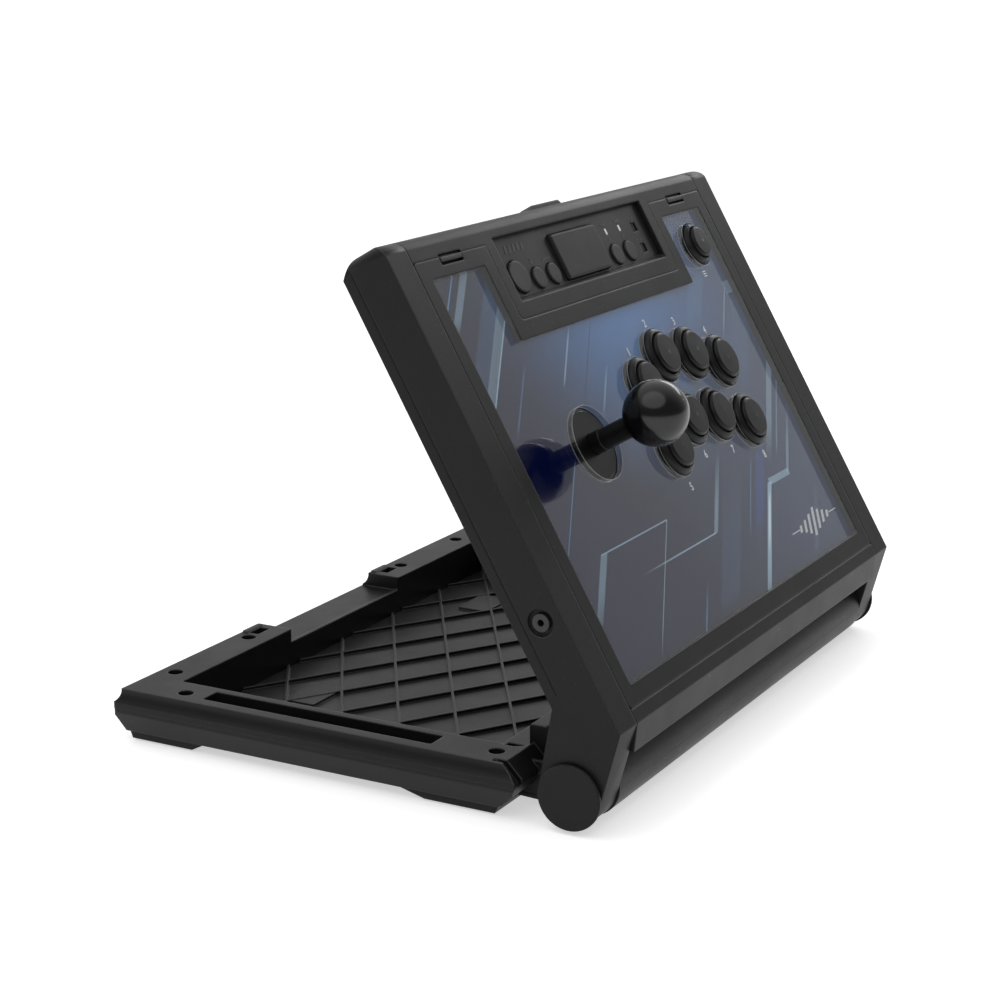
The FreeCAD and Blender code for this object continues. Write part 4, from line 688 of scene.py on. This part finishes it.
def window_hole_rims():
    """Painted highlights: light hoops at the polished edges of the holes in the clear window,
    where light gathers.
    """
    holes = [(x, y, BUTTON_HOLE) for x, y in BUTTONS]
    holes.append(OPTION + (OPTION_HOLE,))
    holes.append(STICK + (STICK_HOLE,))

    def build(bm):
        for x, y, radius in holes:
            for height, thick in HOOPS:
                add_hoop(bm, x, y, radius + HOOP_OUT, height, thick)
    lid_piece("window_hole_rims", mesh_from(build, "window_hole_rims"), rim_light)


button_numbers()
bar_mark("option_mark", OPTION_BARS, INK, ink)
bar_mark("corner_emblem", EMBLEM_BARS, INK, silver_ink)
window_hole_rims()
bar_mark("strip_marks", STRIP_BARS, RAISED, mark_ink)


# ---------------------------------------------------------------- light, camera, floor

FLOOR_SIZE = 60.0
FLOOR_GLOW = 0.55

# The surround: where it is brightest, the range of directions it fades over (cosines to
# that direction), and its strength at each end of the range
WORLD_BRIGHT_SIDE = (0.62, 0.55, 0.56)
WORLD_FADE = (-0.2, 0.95)
WORLD_STRENGTH = (0.18, 0.85)

# Lights: name, place, size, power.  Both are turned to LIT_POINT.
LIT_POINT = Vector((0.0, 0.0, 0.15))
LIGHTS = [("top_light", (-0.9, -0.2, 1.55), (2.4, 1.9), 11.0),
          ("edge_light", (1.8, -0.1, 1.05), (1.5, 0.35), 6.0)]

# The camera as solved from the photo
CAMERA_PLACE = (-1.1314, -0.5997, 0.4432)
CAMERA_TURN = math.radians(61.349)
CAMERA_DIP = math.radians(14.548)
CAMERA_LENS = 82.262
SENSOR_WIDTH = 36.0
CAMERA_FAR = 50.0


def studio_floor():
    """White ground, lit a little from itself so that it reads as the photo's white."""
    mesh = bpy.data.meshes.new("studio_floor")
    half = FLOOR_SIZE / 2
    mesh.from_pydata([(-half, -half, 0), (half, -half, 0), (half, half, 0), (-half, half, 0)],
                     [], [(0, 1, 2, 3)])
    floor = bpy.data.objects.new("studio_floor", mesh)
    bpy.context.collection.objects.link(floor)
    paint = Paint("studio_floor")
    paint.set("Base Color", paint.mix(paint.noise(4.0), grey(0.86), grey(0.90)))
    paint.set("Roughness", 0.7)
    paint.set("Specular IOR Level", 0.1)
    paint.set("Emission Color", grey(1.0))
    paint.set("Emission Strength", FLOOR_GLOW)
    give_material(floor, paint.material)


def studio_world():
    """Pale surround, brightest behind the object and dim behind the camera."""
    world = bpy.data.worlds.new("studio")
    bpy.context.scene.world = world
    world.use_nodes = True
    tree = world.node_tree
    back = tree.nodes["Background"]
    coords = tree.nodes.new("ShaderNodeTexCoord")
    toward = tree.nodes.new("ShaderNodeVectorMath")
    toward.operation = "DOT_PRODUCT"
    toward.inputs[1].default_value = Vector(WORLD_BRIGHT_SIDE).normalized()
    spread = tree.nodes.new("ShaderNodeMapRange")
    spread.interpolation_type = "SMOOTHSTEP"
    for socket, value in zip(list(spread.inputs)[1:], WORLD_FADE + WORLD_STRENGTH):
        socket.default_value = value
    tree.links.new(coords.outputs["Generated"], toward.inputs[0])
    tree.links.new(toward.outputs["Value"], spread.inputs["Value"])
    tree.links.new(spread.outputs[0], back.inputs["Strength"])
    back.inputs["Color"].default_value = grey(1.0)


def turn_to(thing, direction):
    thing.rotation_euler = direction.to_track_quat("-Z", "Y").to_euler()


def soft_light(name, place, size, power):
    data = bpy.data.lights.new(name, "AREA")
    data.shape = "ELLIPSE"
    data.size, data.size_y = size
    data.energy = power
    lamp = bpy.data.objects.new(name, data)
    lamp.location = place
    turn_to(lamp, LIT_POINT - Vector(place))
    bpy.context.collection.objects.link(lamp)


def photo_camera():
    data = bpy.data.cameras.new("camera")
    data.sensor_width = SENSOR_WIDTH
    data.lens = CAMERA_LENS
    data.clip_end = CAMERA_FAR
    camera = bpy.data.objects.new("camera", data)
    camera.location = CAMERA_PLACE
    turn_to(camera, Vector((math.sin(CAMERA_TURN) * math.cos(CAMERA_DIP),
                            math.cos(CAMERA_TURN) * math.cos(CAMERA_DIP),
                            -math.sin(CAMERA_DIP))))
    bpy.context.collection.objects.link(camera)
    bpy.context.scene.camera = camera


studio_floor()
studio_world()
for settings in LIGHTS:
    soft_light(*settings)
photo_camera()
bpy.context.scene.view_settings.view_transform = "Standard"
